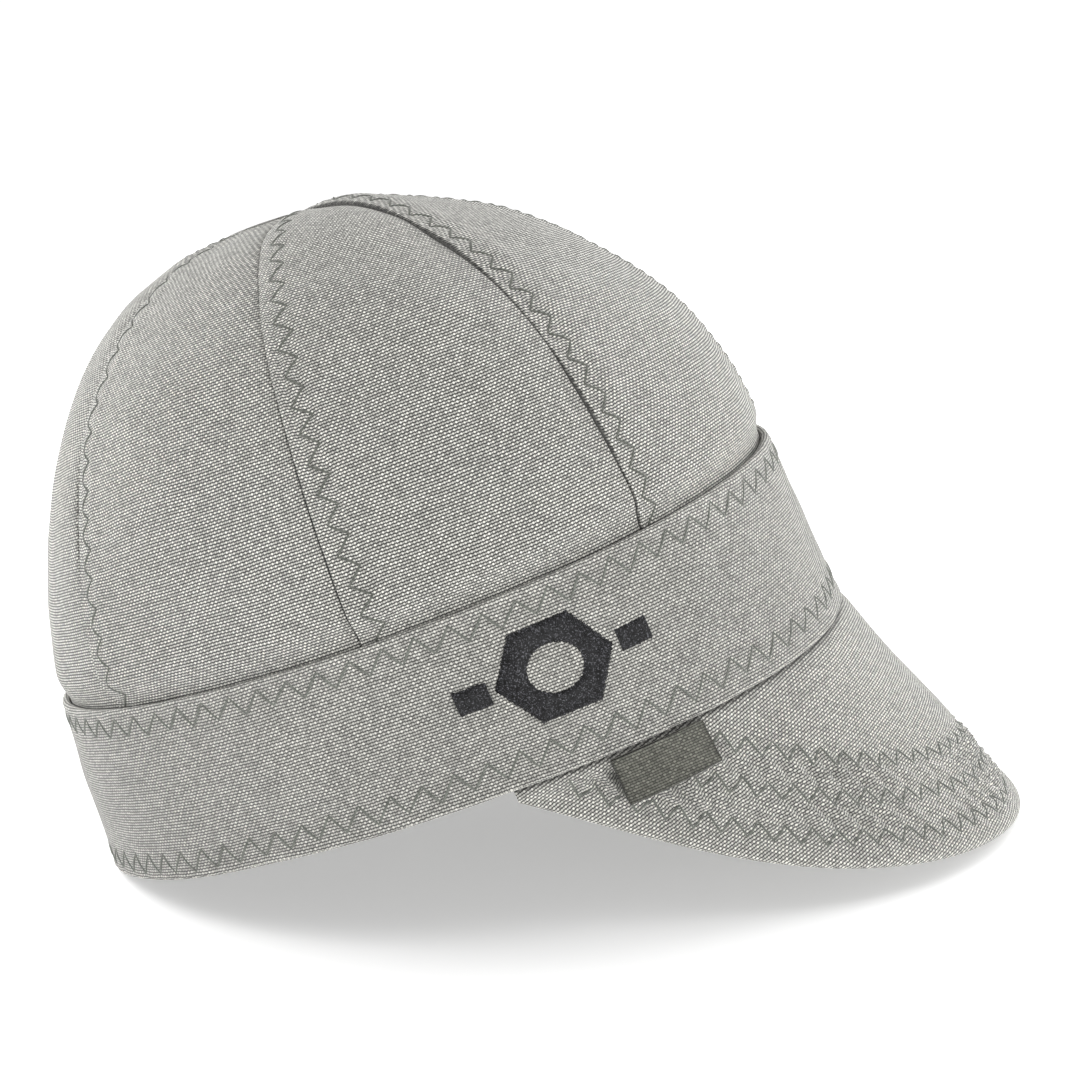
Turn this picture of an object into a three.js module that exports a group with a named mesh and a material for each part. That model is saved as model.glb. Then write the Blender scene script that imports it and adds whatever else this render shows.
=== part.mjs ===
// A welder's cap: eight cloth panels sewn into a round crown, a deep band, a turned-down brim,
// a small side label and a raised emblem. Millimetres, +X to the brim, +Y to the wearer's left,
// +Z up. The pieces are worked out with the hem level. The finished cap is then tipped back as
// it stands on a table, on the back of its hem and the brim's edge, where its cloth lies flat.

import * as THREE from 'three';

const DEG = Math.PI / 180;

// Band: a folded strip of cloth round the head
const bandHeight = 49.8;
const bandTopLength = 205;
const bandTopWidth = 164.6;
const bandCloth = 1.8;
const foldRound = 0.5;
const hemLonger = 11.7;
const hemNarrower = 4;
const hemSetBack = 0.9;
const hemArch = 5.2;
const frontFullness = 0.07;

// Crown: its lower margin is lapped inside the band, and it comes out over the band's fold
const crownHeight = 96.2;
const crownSetForward = 4.3;
const crownCloth = 1.5;
const crownLap = 10;
const crownEmergence = 8;
const crownTipRadius = 1.5;
const crownEasing = 0.85;
const panelPuff = 0.5;
const puffEasing = 0.4;
const seamDip = 0.7;
const seamSharpness = 3.5;

// Crown profile to the front, the sides and the back: a higher number makes a squarer shoulder
const crownProfile = {
  front: { reach: 1.73, rise: 2.06 },
  side: { reach: 2.5, rise: 1.88 },
  back: { reach: 3.1, rise: 1.11 },
};

// Crown seams of one half, from the front centre to the back centre: degrees round the oval at
// the band, and how much further round each has drifted at the crown's tip
const crownSeams = [
  { angle: 0, drift: 0 },
  { angle: 50.8, drift: -2.1 },
  { angle: 92.2, drift: 1.1 },
  { angle: 135.4, drift: 9 },
  { angle: 180, drift: 0 },
];
const panelNames = ['front', 'front_side', 'back_side', 'back'];

// Brim: a stitched pad of cloth with a margin turned up inside the band
const brimReach = 78.2;
const brimCloth = 3;
const brimCorner = 0.45;
const brimStub = 3.5;
const brimMargin = 9;
const brimMarginCloth = 1.5;
const brimMarginFold = 0.9;
const brimHalfAngle = 81.1;
const brimFrontSlope = 67.6;
const brimEndSlope = 103.3;
const brimSlopeBow = 2.44;
const brimBow = 1.6;

// Label: a folded tag caught in the seam between band and brim, on the wearer's right
const labelWidth = 23.8;
const labelDrop = 10.3;
const labelCloth = 1;
const labelLift = 2.4;
const labelCurl = 1.5;
const labelAngle = -61.9;

// Emblem: a raised hexagon nut between two short bars, on the wearer's right
const emblemWidth = 47;
const emblemNut = 29;
const emblemHole = 13;
const emblemBar = 6.5;
const emblemBarGap = 1.5;
const emblemRelief = 0.8;
const emblemAngle = -70.4;
const emblemRise = 27.6;

// What sewn neighbours keep between them, and how far the cloth gives where it rests
const seamGap = 0.3;
const restPress = 1.2;

// How finely directions and distances along a curved face are worked out
const slopeStep = 1e-3;
const tipClear = 0.02;
const alongSteps = 20;
const pitchHalvings = 40;
const steepestPitch = Math.PI / 4;

// Facets
const panelColumns = 8;
const panelRows = 11;
const panelRowEasing = 1.3;
const marginRows = 2;
const bandColumns = 96;
const bandRows = 3;
const brimColumns = 44;
const brimRows = 5;
const labelColumns = 5;
const labelRows = 3;
const emblemColumns = 24;
const emblemBarColumns = 3;

const canvas = new THREE.MeshStandardMaterial({ color: 0xb4b3a4, roughness: 0.95, metalness: 0 });
const labelTape = new THREE.MeshStandardMaterial({ color: 0x55564b, roughness: 0.9, metalness: 0 });
const satinThread = new THREE.MeshStandardMaterial({ color: 0x17181a, roughness: 0.6, metalness: 0 });

/** A point of a level oval. Angle 0 is its front, and the angle grows to the wearer's left. */
function ovalPoint(angle, length, width) {
  const c = Math.cos(angle);
  return new THREE.Vector3((length / 2) * c, (width / 2) * Math.sin(angle) * (1 + frontFullness * c), 0);
}

/** The band's lower outer edge, which arches up a little at the sides. */
function hemPoint(angle) {
  const point = ovalPoint(angle, bandTopLength + hemLonger, bandTopWidth - hemNarrower);
  return point.setX(point.x - hemSetBack).setZ(hemArch * Math.sin(angle) ** 2);
}

/** The band's upper outer edge. */
function bandTopPoint(angle) {
  return ovalPoint(angle, bandTopLength, bandTopWidth).setZ(bandHeight);
}

/** The band's outer face, from share 0 at the hem to 1 at its top. */
function bandPoint(angle, share) {
  return hemPoint(angle).lerp(bandTopPoint(angle), share);
}

/** The crown's face before it puffs between its seams, from rise 0 at the band to 1 at the tip. */
function domePoint(angle, rise) {
  const end = Math.cos(angle) > 0 ? crownProfile.front : crownProfile.back;
  const endShare = Math.cos(angle) ** 2;
  const reachPower = THREE.MathUtils.lerp(crownProfile.side.reach, end.reach, endShare);
  const risePower = THREE.MathUtils.lerp(crownProfile.side.rise, end.rise, endShare);
  const reach = reachAt(rise);
  const point = bandTopPoint(angle).multiplyScalar(reach);
  point.x += crownSetForward * (1 - reach);
  return point.setZ(bandHeight + crownHeight * (1 - reach ** reachPower) ** (1 / risePower));
}

/** How far out from the crown's tip a rise lies, as a share of the band's oval. */
function reachAt(rise) {
  return Math.max(Math.cos((rise * Math.PI) / 2), 0) ** crownEasing;
}

/** The rise of the small ring on which the panels end, which keeps their tips apart. */
function tipRise() {
  return Math.acos(((2 * crownTipRadius) / bandTopWidth) ** (1 / crownEasing)) / (Math.PI / 2);
}

/** How fast a face runs round, in millimetres for each radian. */
function runRound(face, angle, share) {
  const run = face(angle + slopeStep, share).distanceTo(face(angle - slopeStep, share));
  return run / (2 * slopeStep);
}

/** The outward normal of a face that is given by an angle and a share of its rise. */
function normalOf(face, angle, share) {
  const round = face(angle + slopeStep, share).sub(face(angle - slopeStep, share));
  const rising = face(angle, share + slopeStep).sub(face(angle, share - slopeStep));
  return round.cross(rising).normalize();
}

/** The angle that lies some millimetres round a face from another angle. */
function angleAlong(face, start, distance, share) {
  let angle = start;
  for (let i = 0; i < alongSteps; i += 1) angle += distance / alongSteps / runRound(face, angle, share);
  return angle;
}

/** A geometry from its points and its triangles. */
function geometryFrom(points, triangles) {
  const geometry = new THREE.BufferGeometry().setFromPoints(points);
  geometry.setIndex(triangles.flat());
  return geometry;
}

/** Two triangles for a facet whose corners run anticlockwise seen from outside. */
function facet(a, b, c, d) {
  return [[a, b, c], [a, c, d]];
}

/** A wall between two matching grids of points: columns run anticlockwise, and rows rise. */
function wallGeometry(outer, inner) {
  const columns = outer.length - 1;
  const rows = outer[0].length - 1;
  const out = (i, j) => i * (rows + 1) + j;
  const inn = (i, j) => (columns + 1) * (rows + 1) + out(i, j);
  const triangles = [];
  for (let i = 0; i < columns; i += 1) {
    for (let j = 0; j < rows; j += 1) {
      triangles.push(...facet(out(i, j), out(i + 1, j), out(i + 1, j + 1), out(i, j + 1)));
      triangles.push(...facet(inn(i, j), inn(i, j + 1), inn(i + 1, j + 1), inn(i + 1, j)));
    }
    triangles.push(...facet(out(i, 0), inn(i, 0), inn(i + 1, 0), out(i + 1, 0)));
    triangles.push(...facet(out(i, rows), out(i + 1, rows), inn(i + 1, rows), inn(i, rows)));
  }
  for (let j = 0; j < rows; j += 1) {
    triangles.push(...facet(out(0, j), out(0, j + 1), inn(0, j + 1), inn(0, j)));
    triangles.push(...facet(out(columns, j), inn(columns, j), inn(columns, j + 1), out(columns, j + 1)));
  }
  return geometryFrom([...outer.flat(), ...inner.flat()], triangles);
}

/** A body through equal loops of points. Cap triangles close its ends, or it closes on itself. */
function sweptGeometry(loops, capTriangles = []) {
  const size = loops[0].length;
  const spans = capTriangles.length > 0 ? loops.length - 1 : loops.length;
  const last = (loops.length - 1) * size;
  const triangles = [];
  for (let i = 0; i < spans; i += 1) {
    const here = i * size;
    const next = ((i + 1) % loops.length) * size;
    for (let k = 0; k < size; k += 1) {
      const l = (k + 1) % size;
      triangles.push(...facet(here + k, next + k, next + l, here + l));
    }
  }
  capTriangles.forEach(([a, b, c]) => triangles.push([a, b, c], [last + a, last + c, last + b]));
  return geometryFrom(loops.flat(), triangles);
}

/** Where a seam runs at a rise. Side is -1 for the wearer's right and 1 for the left. */
function seamAngle(seam, rise, side) {
  return side * (seam.angle + seam.drift * Math.sin((rise * Math.PI) / 2) ** 2) * DEG;
}

/** The crown's wall at a depth under its outer face. Across runs from seam to seam. */
function crownPoint(angle, rise, across, depth) {
  const point = domePoint(angle, rise);
  const normal = normalOf(domePoint, angle, THREE.MathUtils.clamp(rise, tipClear, 1 - tipClear));
  const emerged = THREE.MathUtils.smoothstep(point.z - bandHeight, foldRound, crownEmergence);
  const dip = (panelPuff + seamDip) * Math.abs(2 * across - 1) ** seamSharpness;
  const puff = (panelPuff - dip) * Math.sin(Math.PI * rise) ** puffEasing;
  return point.addScaledVector(normal, puff - (bandCloth + seamGap) * (1 - emerged) - depth);
}

/** The crown's margin inside the band, some millimetres down from the band's top. */
function marginPoint(angle, drop, depth) {
  const share = 1 - drop / bandHeight;
  const inset = bandCloth + seamGap + depth;
  return bandPoint(angle, share).addScaledVector(normalOf(bandPoint, angle, share), -inset);
}

/** One crown panel, from its margin inside the band to the small ring at the crown's tip. */
function crownPanelGeometry(front, back, side) {
  const [from, to] = side > 0 ? [front, back] : [back, front];
  const columnAt = (across, depth) => {
    const angleAt = (rise) => {
      const start = seamAngle(from, rise, side);
      const end = seamAngle(to, rise, side);
      const startClear = seamGap / 2 / runRound(domePoint, start, rise);
      const endClear = seamGap / 2 / runRound(domePoint, end, rise);
      return THREE.MathUtils.lerp(start + startClear, end - endClear, across);
    };
    const column = [];
    for (let j = 0; j <= marginRows; j += 1) {
      column.push(marginPoint(angleAt(0), crownLap * (1 - j / marginRows), depth));
    }
    for (let j = 1; j <= panelRows; j += 1) {
      const rise = tipRise() * (j / panelRows) ** panelRowEasing;
      column.push(crownPoint(angleAt(rise), rise, across, depth));
    }
    return column;
  };
  const shares = Array.from({ length: panelColumns + 1 }, (_, i) => i / panelColumns);
  return wallGeometry(shares.map((s) => columnAt(s, 0)), shares.map((s) => columnAt(s, crownCloth)));
}

/** The band: one ring with a rounded fold along its top and its hem. */
function bandGeometry() {
  const fold = foldRound / bandHeight;
  const shares = Array.from({ length: bandRows + 1 }, (_, i) => (
    THREE.MathUtils.lerp(fold, 1 - fold, i / bandRows)));
  const section = [
    ...shares.map((share) => ({ share, depth: 0 })),
    { share: 1, depth: foldRound },
    { share: 1, depth: bandCloth - foldRound },
    ...shares.toReversed().map((share) => ({ share, depth: bandCloth })),
    { share: 0, depth: bandCloth - foldRound },
    { share: 0, depth: foldRound },
  ];
  const loops = Array.from({ length: bandColumns }, (_, i) => {
    const angle = (2 * Math.PI * i) / bandColumns;
    return section.map(({ share, depth }) => (
      bandPoint(angle, share).addScaledVector(normalOf(bandPoint, angle, share), -depth)));
  });
  return sweptGeometry(loops);
}

/** The brim's length, ruling direction and root at a place from -1, its right end, to 1. */
function brimRuling(place) {
  const angle = place * brimHalfAngle * DEG;
  const round = hemPoint(angle + slopeStep).sub(hemPoint(angle - slopeStep)).normalize();
  const outward = new THREE.Vector3(round.y, -round.x, 0).normalize();
  const towardsEnd = Math.abs(place) ** brimSlopeBow;
  const slope = THREE.MathUtils.lerp(brimFrontSlope, brimEndSlope, towardsEnd) * DEG;
  const ruling = outward.clone().multiplyScalar(Math.cos(slope)).setZ(-Math.sin(slope));
  const normal = ruling.clone().cross(round).normalize();
  const outline = 1 - Math.abs(place) ** brimBow;
  const length = THREE.MathUtils.lerp(brimStub, brimReach, outline);
  const wall = bandPoint(angle, 1).sub(bandPoint(angle, 0)).normalize();
  const face = normalOf(bandPoint, angle, 0);
  const root = hemPoint(angle).addScaledVector(wall, -seamGap);
  return { root, ruling, normal, length, wall, face };
}

/** The brim's section as points that lie along its ruling, or up its margin inside the band. */
function brimLoop(place) {
  const { root, ruling, normal, length, wall, face } = brimRuling(place);
  const edge = brimCloth / 2;
  const onPad = (along, depth) => root.clone().addScaledVector(ruling, along).addScaledVector(normal, -depth);
  const onMargin = (rise, depth) => root.clone().addScaledVector(wall, rise).addScaledVector(face, -depth);
  const outside = bandCloth + seamGap;
  const inside = outside + brimMarginCloth;
  const reaches = Array.from({ length: brimRows }, (_, i) => (length - edge) * (1 - i / brimRows));
  return [
    onPad(length, edge),
    onPad(length - brimCorner, brimCorner),
    ...reaches.map((along) => onPad(along, 0)),
    onPad(0, 0),
    onMargin(0, outside),
    onMargin(brimMargin, outside),
    onMargin(brimMargin, inside),
    onMargin(brimMarginFold, inside),
    ...reaches.toReversed().map((along) => onPad(along, brimCloth)),
    onPad(length - brimCorner, brimCloth - brimCorner),
  ];
}

/** The brim: a curved pad with its margin, closed at its two ends. */
function brimGeometry() {
  const loops = Array.from({ length: brimColumns + 1 }, (_, i) => brimLoop((2 * i) / brimColumns - 1));
  const { root, wall, face } = brimRuling(-1);
  const flat = loops[0].map((point) => {
    const from = point.clone().sub(root);
    return new THREE.Vector2(from.dot(face), from.dot(wall));
  });
  return sweptGeometry(loops, THREE.ShapeUtils.triangulateShape(flat, []));
}

/** The side label: a folded tag that hangs from the seam over the brim, lifting at its lower edge. */
function labelGeometry() {
  const middle = brimRuling(labelAngle / brimHalfAngle);
  const gridAt = (depth) => Array.from({ length: labelColumns + 1 }, (_, i) => {
    const along = labelWidth * (i / labelColumns - 0.5);
    const angle = angleAlong(bandPoint, labelAngle * DEG, along, 0);
    const { root, normal } = brimRuling(angle / DEG / brimHalfAngle);
    return Array.from({ length: labelRows + 1 }, (_, j) => {
      const hang = 1 - j / labelRows;
      const lift = seamGap + labelLift * hang ** labelCurl + labelCloth - depth;
      return root.clone()
        .addScaledVector(middle.ruling, foldRound + labelDrop * hang)
        .addScaledVector(normal, lift);
    });
  });
  return wallGeometry(gridAt(0), gridAt(labelCloth));
}

/** A point over the band's outer face, placed from the emblem's middle along and up the band. */
function overBand(along, rise, lift) {
  const share = (emblemRise + rise) / bandHeight;
  const angle = angleAlong(bandPoint, emblemAngle * DEG, along, share);
  return bandPoint(angle, share).addScaledVector(normalOf(bandPoint, angle, share), lift);
}

/** The emblem's nut: a hexagon with a round hole, raised off the band. */
function emblemNutGeometry() {
  const hole = emblemHole / 2;
  const low = seamGap;
  const high = seamGap + emblemRelief;
  const loops = Array.from({ length: emblemColumns }, (_, i) => {
    const turn = (2 * Math.PI * i) / emblemColumns;
    const fromFlat = (turn % (Math.PI / 3)) - Math.PI / 6;
    const rim = ((emblemNut / 2) * Math.cos(Math.PI / 6)) / Math.cos(fromFlat);
    const at = (radius, lift) => overBand(radius * Math.cos(turn), radius * Math.sin(turn), lift);
    const middle = (hole + rim) / 2;
    return [at(rim, low), at(rim, high), at(middle, high), at(hole, high), at(hole, low), at(middle, low)];
  });
  return sweptGeometry(loops);
}

/** One of the emblem's bars. Side is 1 for the bar nearer the brim and -1 for the other. */
function emblemBarGeometry(side) {
  const inner = emblemNut / 2 + emblemBarGap;
  const outer = emblemWidth / 2;
  const [from, to] = side > 0 ? [inner, outer] : [-outer, -inner];
  const gridAt = (lift) => Array.from({ length: emblemBarColumns + 1 }, (_, i) => {
    const along = THREE.MathUtils.lerp(from, to, i / emblemBarColumns);
    return [-emblemBar / 2, emblemBar / 2].map((rise) => overBand(along, rise, lift));
  });
  return wallGeometry(gridAt(seamGap + emblemRelief), gridAt(seamGap));
}

/** How high a point stands once the cap is tipped back. */
function heightTipped(point, pitch) {
  return point.x * Math.sin(pitch) + point.z * Math.cos(pitch);
}

/** The height of a piece's lowest point once the cap is tipped back. */
function lowestTipped(geometry, pitch) {
  const positions = geometry.getAttribute('position');
  const point = new THREE.Vector3();
  let lowest = Infinity;
  for (let i = 0; i < positions.count; i += 1) {
    lowest = Math.min(lowest, heightTipped(point.fromBufferAttribute(positions, i), pitch));
  }
  return lowest;
}

/** How far the cap tips back before the heel of its band is as low as the brim's edge. */
function restPitch(band, brim) {
  let low = 0;
  let high = steepestPitch;
  for (let i = 0; i < pitchHalvings; i += 1) {
    const middle = (low + high) / 2;
    if (lowestTipped(brim, middle) < lowestTipped(band, middle)) low = middle;
    else high = middle;
  }
  return high;
}

/** Tips each piece back, stands it on the floor and presses flat the cloth that rests there. */
function setDown(meshes, band, brim) {
  const pitch = restPitch(band, brim);
  const lift = -lowestTipped(band, pitch) - restPress;
  const tip = new THREE.Matrix4().makeRotationY(-pitch);
  const stance = new THREE.Matrix4().makeTranslation(0, 0, lift).multiply(tip);
  const box = new THREE.Box3();
  meshes.forEach(({ geometry }) => {
    geometry.applyMatrix4(stance);
    const positions = geometry.getAttribute('position');
    for (let i = 0; i < positions.count; i += 1) positions.setZ(i, Math.max(positions.getZ(i), 0));
    geometry.computeBoundingBox();
    box.union(geometry.boundingBox);
  });
  const middle = (box.min.x + box.max.x) / 2;
  meshes.forEach(({ geometry }) => {
    geometry.translate(-middle, 0, 0);
    geometry.computeVertexNormals();
  });
}

/** A named mesh. */
function piece(name, geometry, material) {
  const mesh = new THREE.Mesh(geometry, material);
  mesh.name = name;
  return mesh;
}

const band = piece('band', bandGeometry(), canvas);
const brim = piece('brim', brimGeometry(), canvas);
const panels = [[-1, 'right'], [1, 'left']].flatMap(([side, sideName]) => (
  panelNames.map((name, i) => {
    const geometry = crownPanelGeometry(crownSeams[i], crownSeams[i + 1], side);
    return piece(`crown_panel_${name}_${sideName}`, geometry, canvas);
  })));
const trim = [
  piece('side_label', labelGeometry(), labelTape),
  piece('emblem_nut', emblemNutGeometry(), satinThread),
  piece('emblem_bar_front', emblemBarGeometry(1), satinThread),
  piece('emblem_bar_back', emblemBarGeometry(-1), satinThread),
];

const cap = new THREE.Group();
cap.add(...panels, band, brim, ...trim);
setDown(cap.children, band.geometry, brim.geometry);

export default cap;
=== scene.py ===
"""A welder's cap of pale grey cotton duck: eight crown panels, a deep band, a short quilted brim,
a bare side label and a satin-stitched nut between two bars.

Lengths are metres. The cap's own frame has its hem level, +X to the brim and +Y to the wearer's
left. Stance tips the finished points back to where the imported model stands.
"""

import logging
import math
from dataclasses import dataclass, field, replace
from enum import Enum
from typing import Callable

import bpy
import numpy as np
from mathutils import Matrix, Vector


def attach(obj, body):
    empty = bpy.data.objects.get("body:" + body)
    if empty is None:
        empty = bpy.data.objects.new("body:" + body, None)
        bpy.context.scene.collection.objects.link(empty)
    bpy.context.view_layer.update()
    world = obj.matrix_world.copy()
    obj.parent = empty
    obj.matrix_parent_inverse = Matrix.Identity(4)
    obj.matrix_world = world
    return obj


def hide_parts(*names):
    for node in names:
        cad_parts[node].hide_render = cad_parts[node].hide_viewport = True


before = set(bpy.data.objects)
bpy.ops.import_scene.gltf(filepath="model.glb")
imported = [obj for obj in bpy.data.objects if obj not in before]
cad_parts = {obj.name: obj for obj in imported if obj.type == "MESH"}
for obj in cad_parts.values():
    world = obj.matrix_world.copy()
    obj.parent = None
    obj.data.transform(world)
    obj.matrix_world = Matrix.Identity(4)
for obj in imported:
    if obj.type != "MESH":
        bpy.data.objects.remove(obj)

Points = np.ndarray
Socket = bpy.types.NodeSocket
Face = Callable[[Points, Points], Points]
LOG = logging.getLogger("welding_cap")
MM = 0.001
SLOPE_STEP = 1e-3
CLOTH_UV = "cloth"
WEAR = "wear"
# Point attribute with the share of painted shade: seam ditches, the brim's root, the label's edges and
# fold, the band's back joint.
PAINTED_SHADE = "painted_shade"
SHARP_EDGE = math.radians(62)
NEEDLE_SPREAD = 1.3 * MM


def unit(vectors: Points) -> Points:
    """Vectors at length one."""
    return vectors / np.maximum(np.linalg.norm(vectors, axis=-1, keepdims=True), 1e-12)


def smooth(value: Points, low: float, high: float) -> Points:
    """A soft step from 0 at low to 1 at high."""
    t = np.clip((value - low) / (high - low), 0, 1)
    return t * t * (3 - 2 * t)


def blend(start: Points, end: Points, share: Points) -> Points:
    """A mix of two values."""
    return start + (end - start) * share


def bump(value: Points, middle: float, spread: float) -> Points:
    """A bell of height one."""
    return np.exp(-((value - middle) / spread) ** 2)


def run_length(points: Points, axis: int = 0) -> Points:
    """Distance travelled along one axis of a grid of points, from 0."""
    steps = np.linalg.norm(np.diff(points, axis=axis), axis=-1)
    first = np.zeros_like(np.take(steps, [0], axis=axis))
    return np.concatenate([first, np.cumsum(steps, axis=axis)], axis=axis)


def drape(points: Points, wavelength: float, seed: int) -> Points:
    """A soft, uneven swell of cloth.

    Args:
        points: where it is wanted, in the cap's own frame.
        wavelength: rough distance from one swell to the next.
        seed: a fixed number for each use.

    Returns:
        Values from about -1 to 1.
    """
    rng = np.random.default_rng(seed)
    waves = 9
    directions = unit(rng.normal(size=(waves, 3)))
    lengths = wavelength * rng.uniform(0.7, 1.5, waves)
    phases = rng.uniform(0, 2 * np.pi, waves)
    swell = np.sin(points @ (2 * np.pi * directions / lengths[:, None]).T + phases)
    return swell.sum(axis=-1) / math.sqrt(waves)


def nearest(points: Points, targets: Points) -> tuple[Points, Points]:
    """Distance from each point to the closest target, and that target's number."""
    flat = points.reshape(-1, 3)
    best = np.empty(len(flat))
    number = np.empty(len(flat), int)
    block = 4000
    for start in range(0, len(flat), block):
        part = flat[start:start + block]
        square = (part ** 2).sum(1)[:, None] + (targets ** 2).sum(1)[None] - 2 * part @ targets.T
        number[start:start + block] = square.argmin(1)
        best[start:start + block] = np.sqrt(np.maximum(square.min(1), 0))
    return best.reshape(points.shape[:-1]), number.reshape(points.shape[:-1])


def at_distances(wanted: Points, travelled: Points, points: Points) -> Points:
    """Points at some distances along a line of points."""
    return np.stack([np.interp(wanted, travelled, points[..., n]) for n in range(3)], -1)


def show(name: str, data: bpy.types.ID) -> bpy.types.Object:
    """Puts a mesh, a lamp or a camera into the scene as an object."""
    obj = bpy.data.objects.new(name, data)
    bpy.context.scene.collection.objects.link(obj)
    return obj


@dataclass(frozen=True)
class CapForm:
    """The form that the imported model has, with its hem level."""

    band_height: float = 49.8 * MM
    top_length: float = 205 * MM
    top_width: float = 164.6 * MM
    hem_longer: float = 11.7 * MM
    hem_narrower: float = 4 * MM
    hem_set_back: float = 0.9 * MM
    hem_arch: float = 5.2 * MM
    front_fullness: float = 0.07
    band_cloth: float = 1.8 * MM
    crown_height: float = 96.2 * MM
    crown_set_forward: float = 4.3 * MM
    crown_easing: float = 0.85
    crown_cloth: float = 1.5 * MM
    crown_emergence: float = 8 * MM
    front_profile: tuple[float, float] = (1.73, 2.06)
    side_profile: tuple[float, float] = (2.5, 1.88)
    back_profile: tuple[float, float] = (3.1, 1.11)
    seam_gap: float = 0.3 * MM

    def oval(self, angle: Points, length: float, width: float) -> Points:
        """A level oval. Angle 0 is its front, and the angle grows to the wearer's left."""
        c = np.cos(angle)
        across = width / 2 * np.sin(angle) * (1 + self.front_fullness * c)
        return np.stack([length / 2 * c, across, np.zeros_like(c)], -1)

    def hem(self, angle: Points) -> Points:
        """The band's lower outer edge."""
        length = self.top_length + self.hem_longer
        points = self.oval(angle, length, self.top_width - self.hem_narrower)
        points[..., 0] -= self.hem_set_back
        points[..., 2] = self.hem_arch * np.sin(angle) ** 2
        return points

    def band_top(self, angle: Points) -> Points:
        """The band's upper outer edge."""
        points = self.oval(angle, self.top_length, self.top_width)
        points[..., 2] = self.band_height
        return points

    def band(self, angle: Points, share: Points) -> Points:
        """The band's outer face, from share 0 at the hem to 1 at its top."""
        angle, share = np.broadcast_arrays(angle, share)
        return blend(self.hem(angle), self.band_top(angle), share[..., None])

    def reach(self, rise: Points) -> Points:
        """How far out from the crown's tip a rise lies."""
        return np.maximum(np.cos(rise * np.pi / 2), 0) ** self.crown_easing

    def dome(self, angle: Points, rise: Points) -> Points:
        """The crown's face before it puffs, from rise 0 at the band to 1 at the tip."""
        angle, rise = np.broadcast_arrays(angle, rise)
        end_share = np.cos(angle) ** 2
        front = np.cos(angle) > 0
        ends = [np.where(front, f, b) for f, b in zip(self.front_profile, self.back_profile)]
        reach_power, rise_power = (
            blend(side, end, end_share) for side, end in zip(self.side_profile, ends))
        reach = self.reach(rise)
        points = self.band_top(angle) * reach[..., None]
        points[..., 0] += self.crown_set_forward * (1 - reach)
        height = np.maximum(1 - reach ** reach_power, 0) ** (1 / rise_power)
        points[..., 2] = self.band_height + self.crown_height * height
        return points

    @staticmethod
    def normal(face: Face, angle: Points, share: Points) -> Points:
        """The outward normal of a face that is given by an angle and a share of its rise."""
        around = face(angle + SLOPE_STEP, share) - face(angle - SLOPE_STEP, share)
        rising = face(angle, share + SLOPE_STEP) - face(angle, share - SLOPE_STEP)
        return unit(np.cross(around, rising))

    @staticmethod
    def along(face: Face, start: float, distances: Points, share: Points) -> Points:
        """Angles that lie some distances round a face from a start angle."""
        distances, share = np.broadcast_arrays(distances, share)
        angle = np.full(distances.shape, start)
        steps = 20
        for _ in range(steps):
            ahead = face(angle + SLOPE_STEP, share) - face(angle - SLOPE_STEP, share)
            speed = np.linalg.norm(ahead, axis=-1) / (2 * SLOPE_STEP)
            angle = angle + distances / steps / speed
        return angle


@dataclass(frozen=True)
class Stance:
    """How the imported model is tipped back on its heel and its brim's edge."""

    pitch: float = math.radians(16.706822)
    lift: float = 30.128483 * MM
    middle: float = 19.655463 * MM

    def turn(self, vectors: Points) -> Points:
        """Directions, tipped back."""
        turned = np.array(vectors, float)
        x, z = vectors[..., 0], vectors[..., 2]
        turned[..., 0] = x * math.cos(self.pitch) - z * math.sin(self.pitch)
        turned[..., 2] = x * math.sin(self.pitch) + z * math.cos(self.pitch)
        return turned

    def stand(self, points: Points) -> Points:
        """Points, tipped back and set down, with the cloth pressed flat where it rests."""
        placed = self.turn(points)
        placed[..., 0] -= self.middle
        placed[..., 2] = np.maximum(placed[..., 2] + self.lift, 0)
        return placed


FORM = CapForm()
STANCE = Stance()


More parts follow.
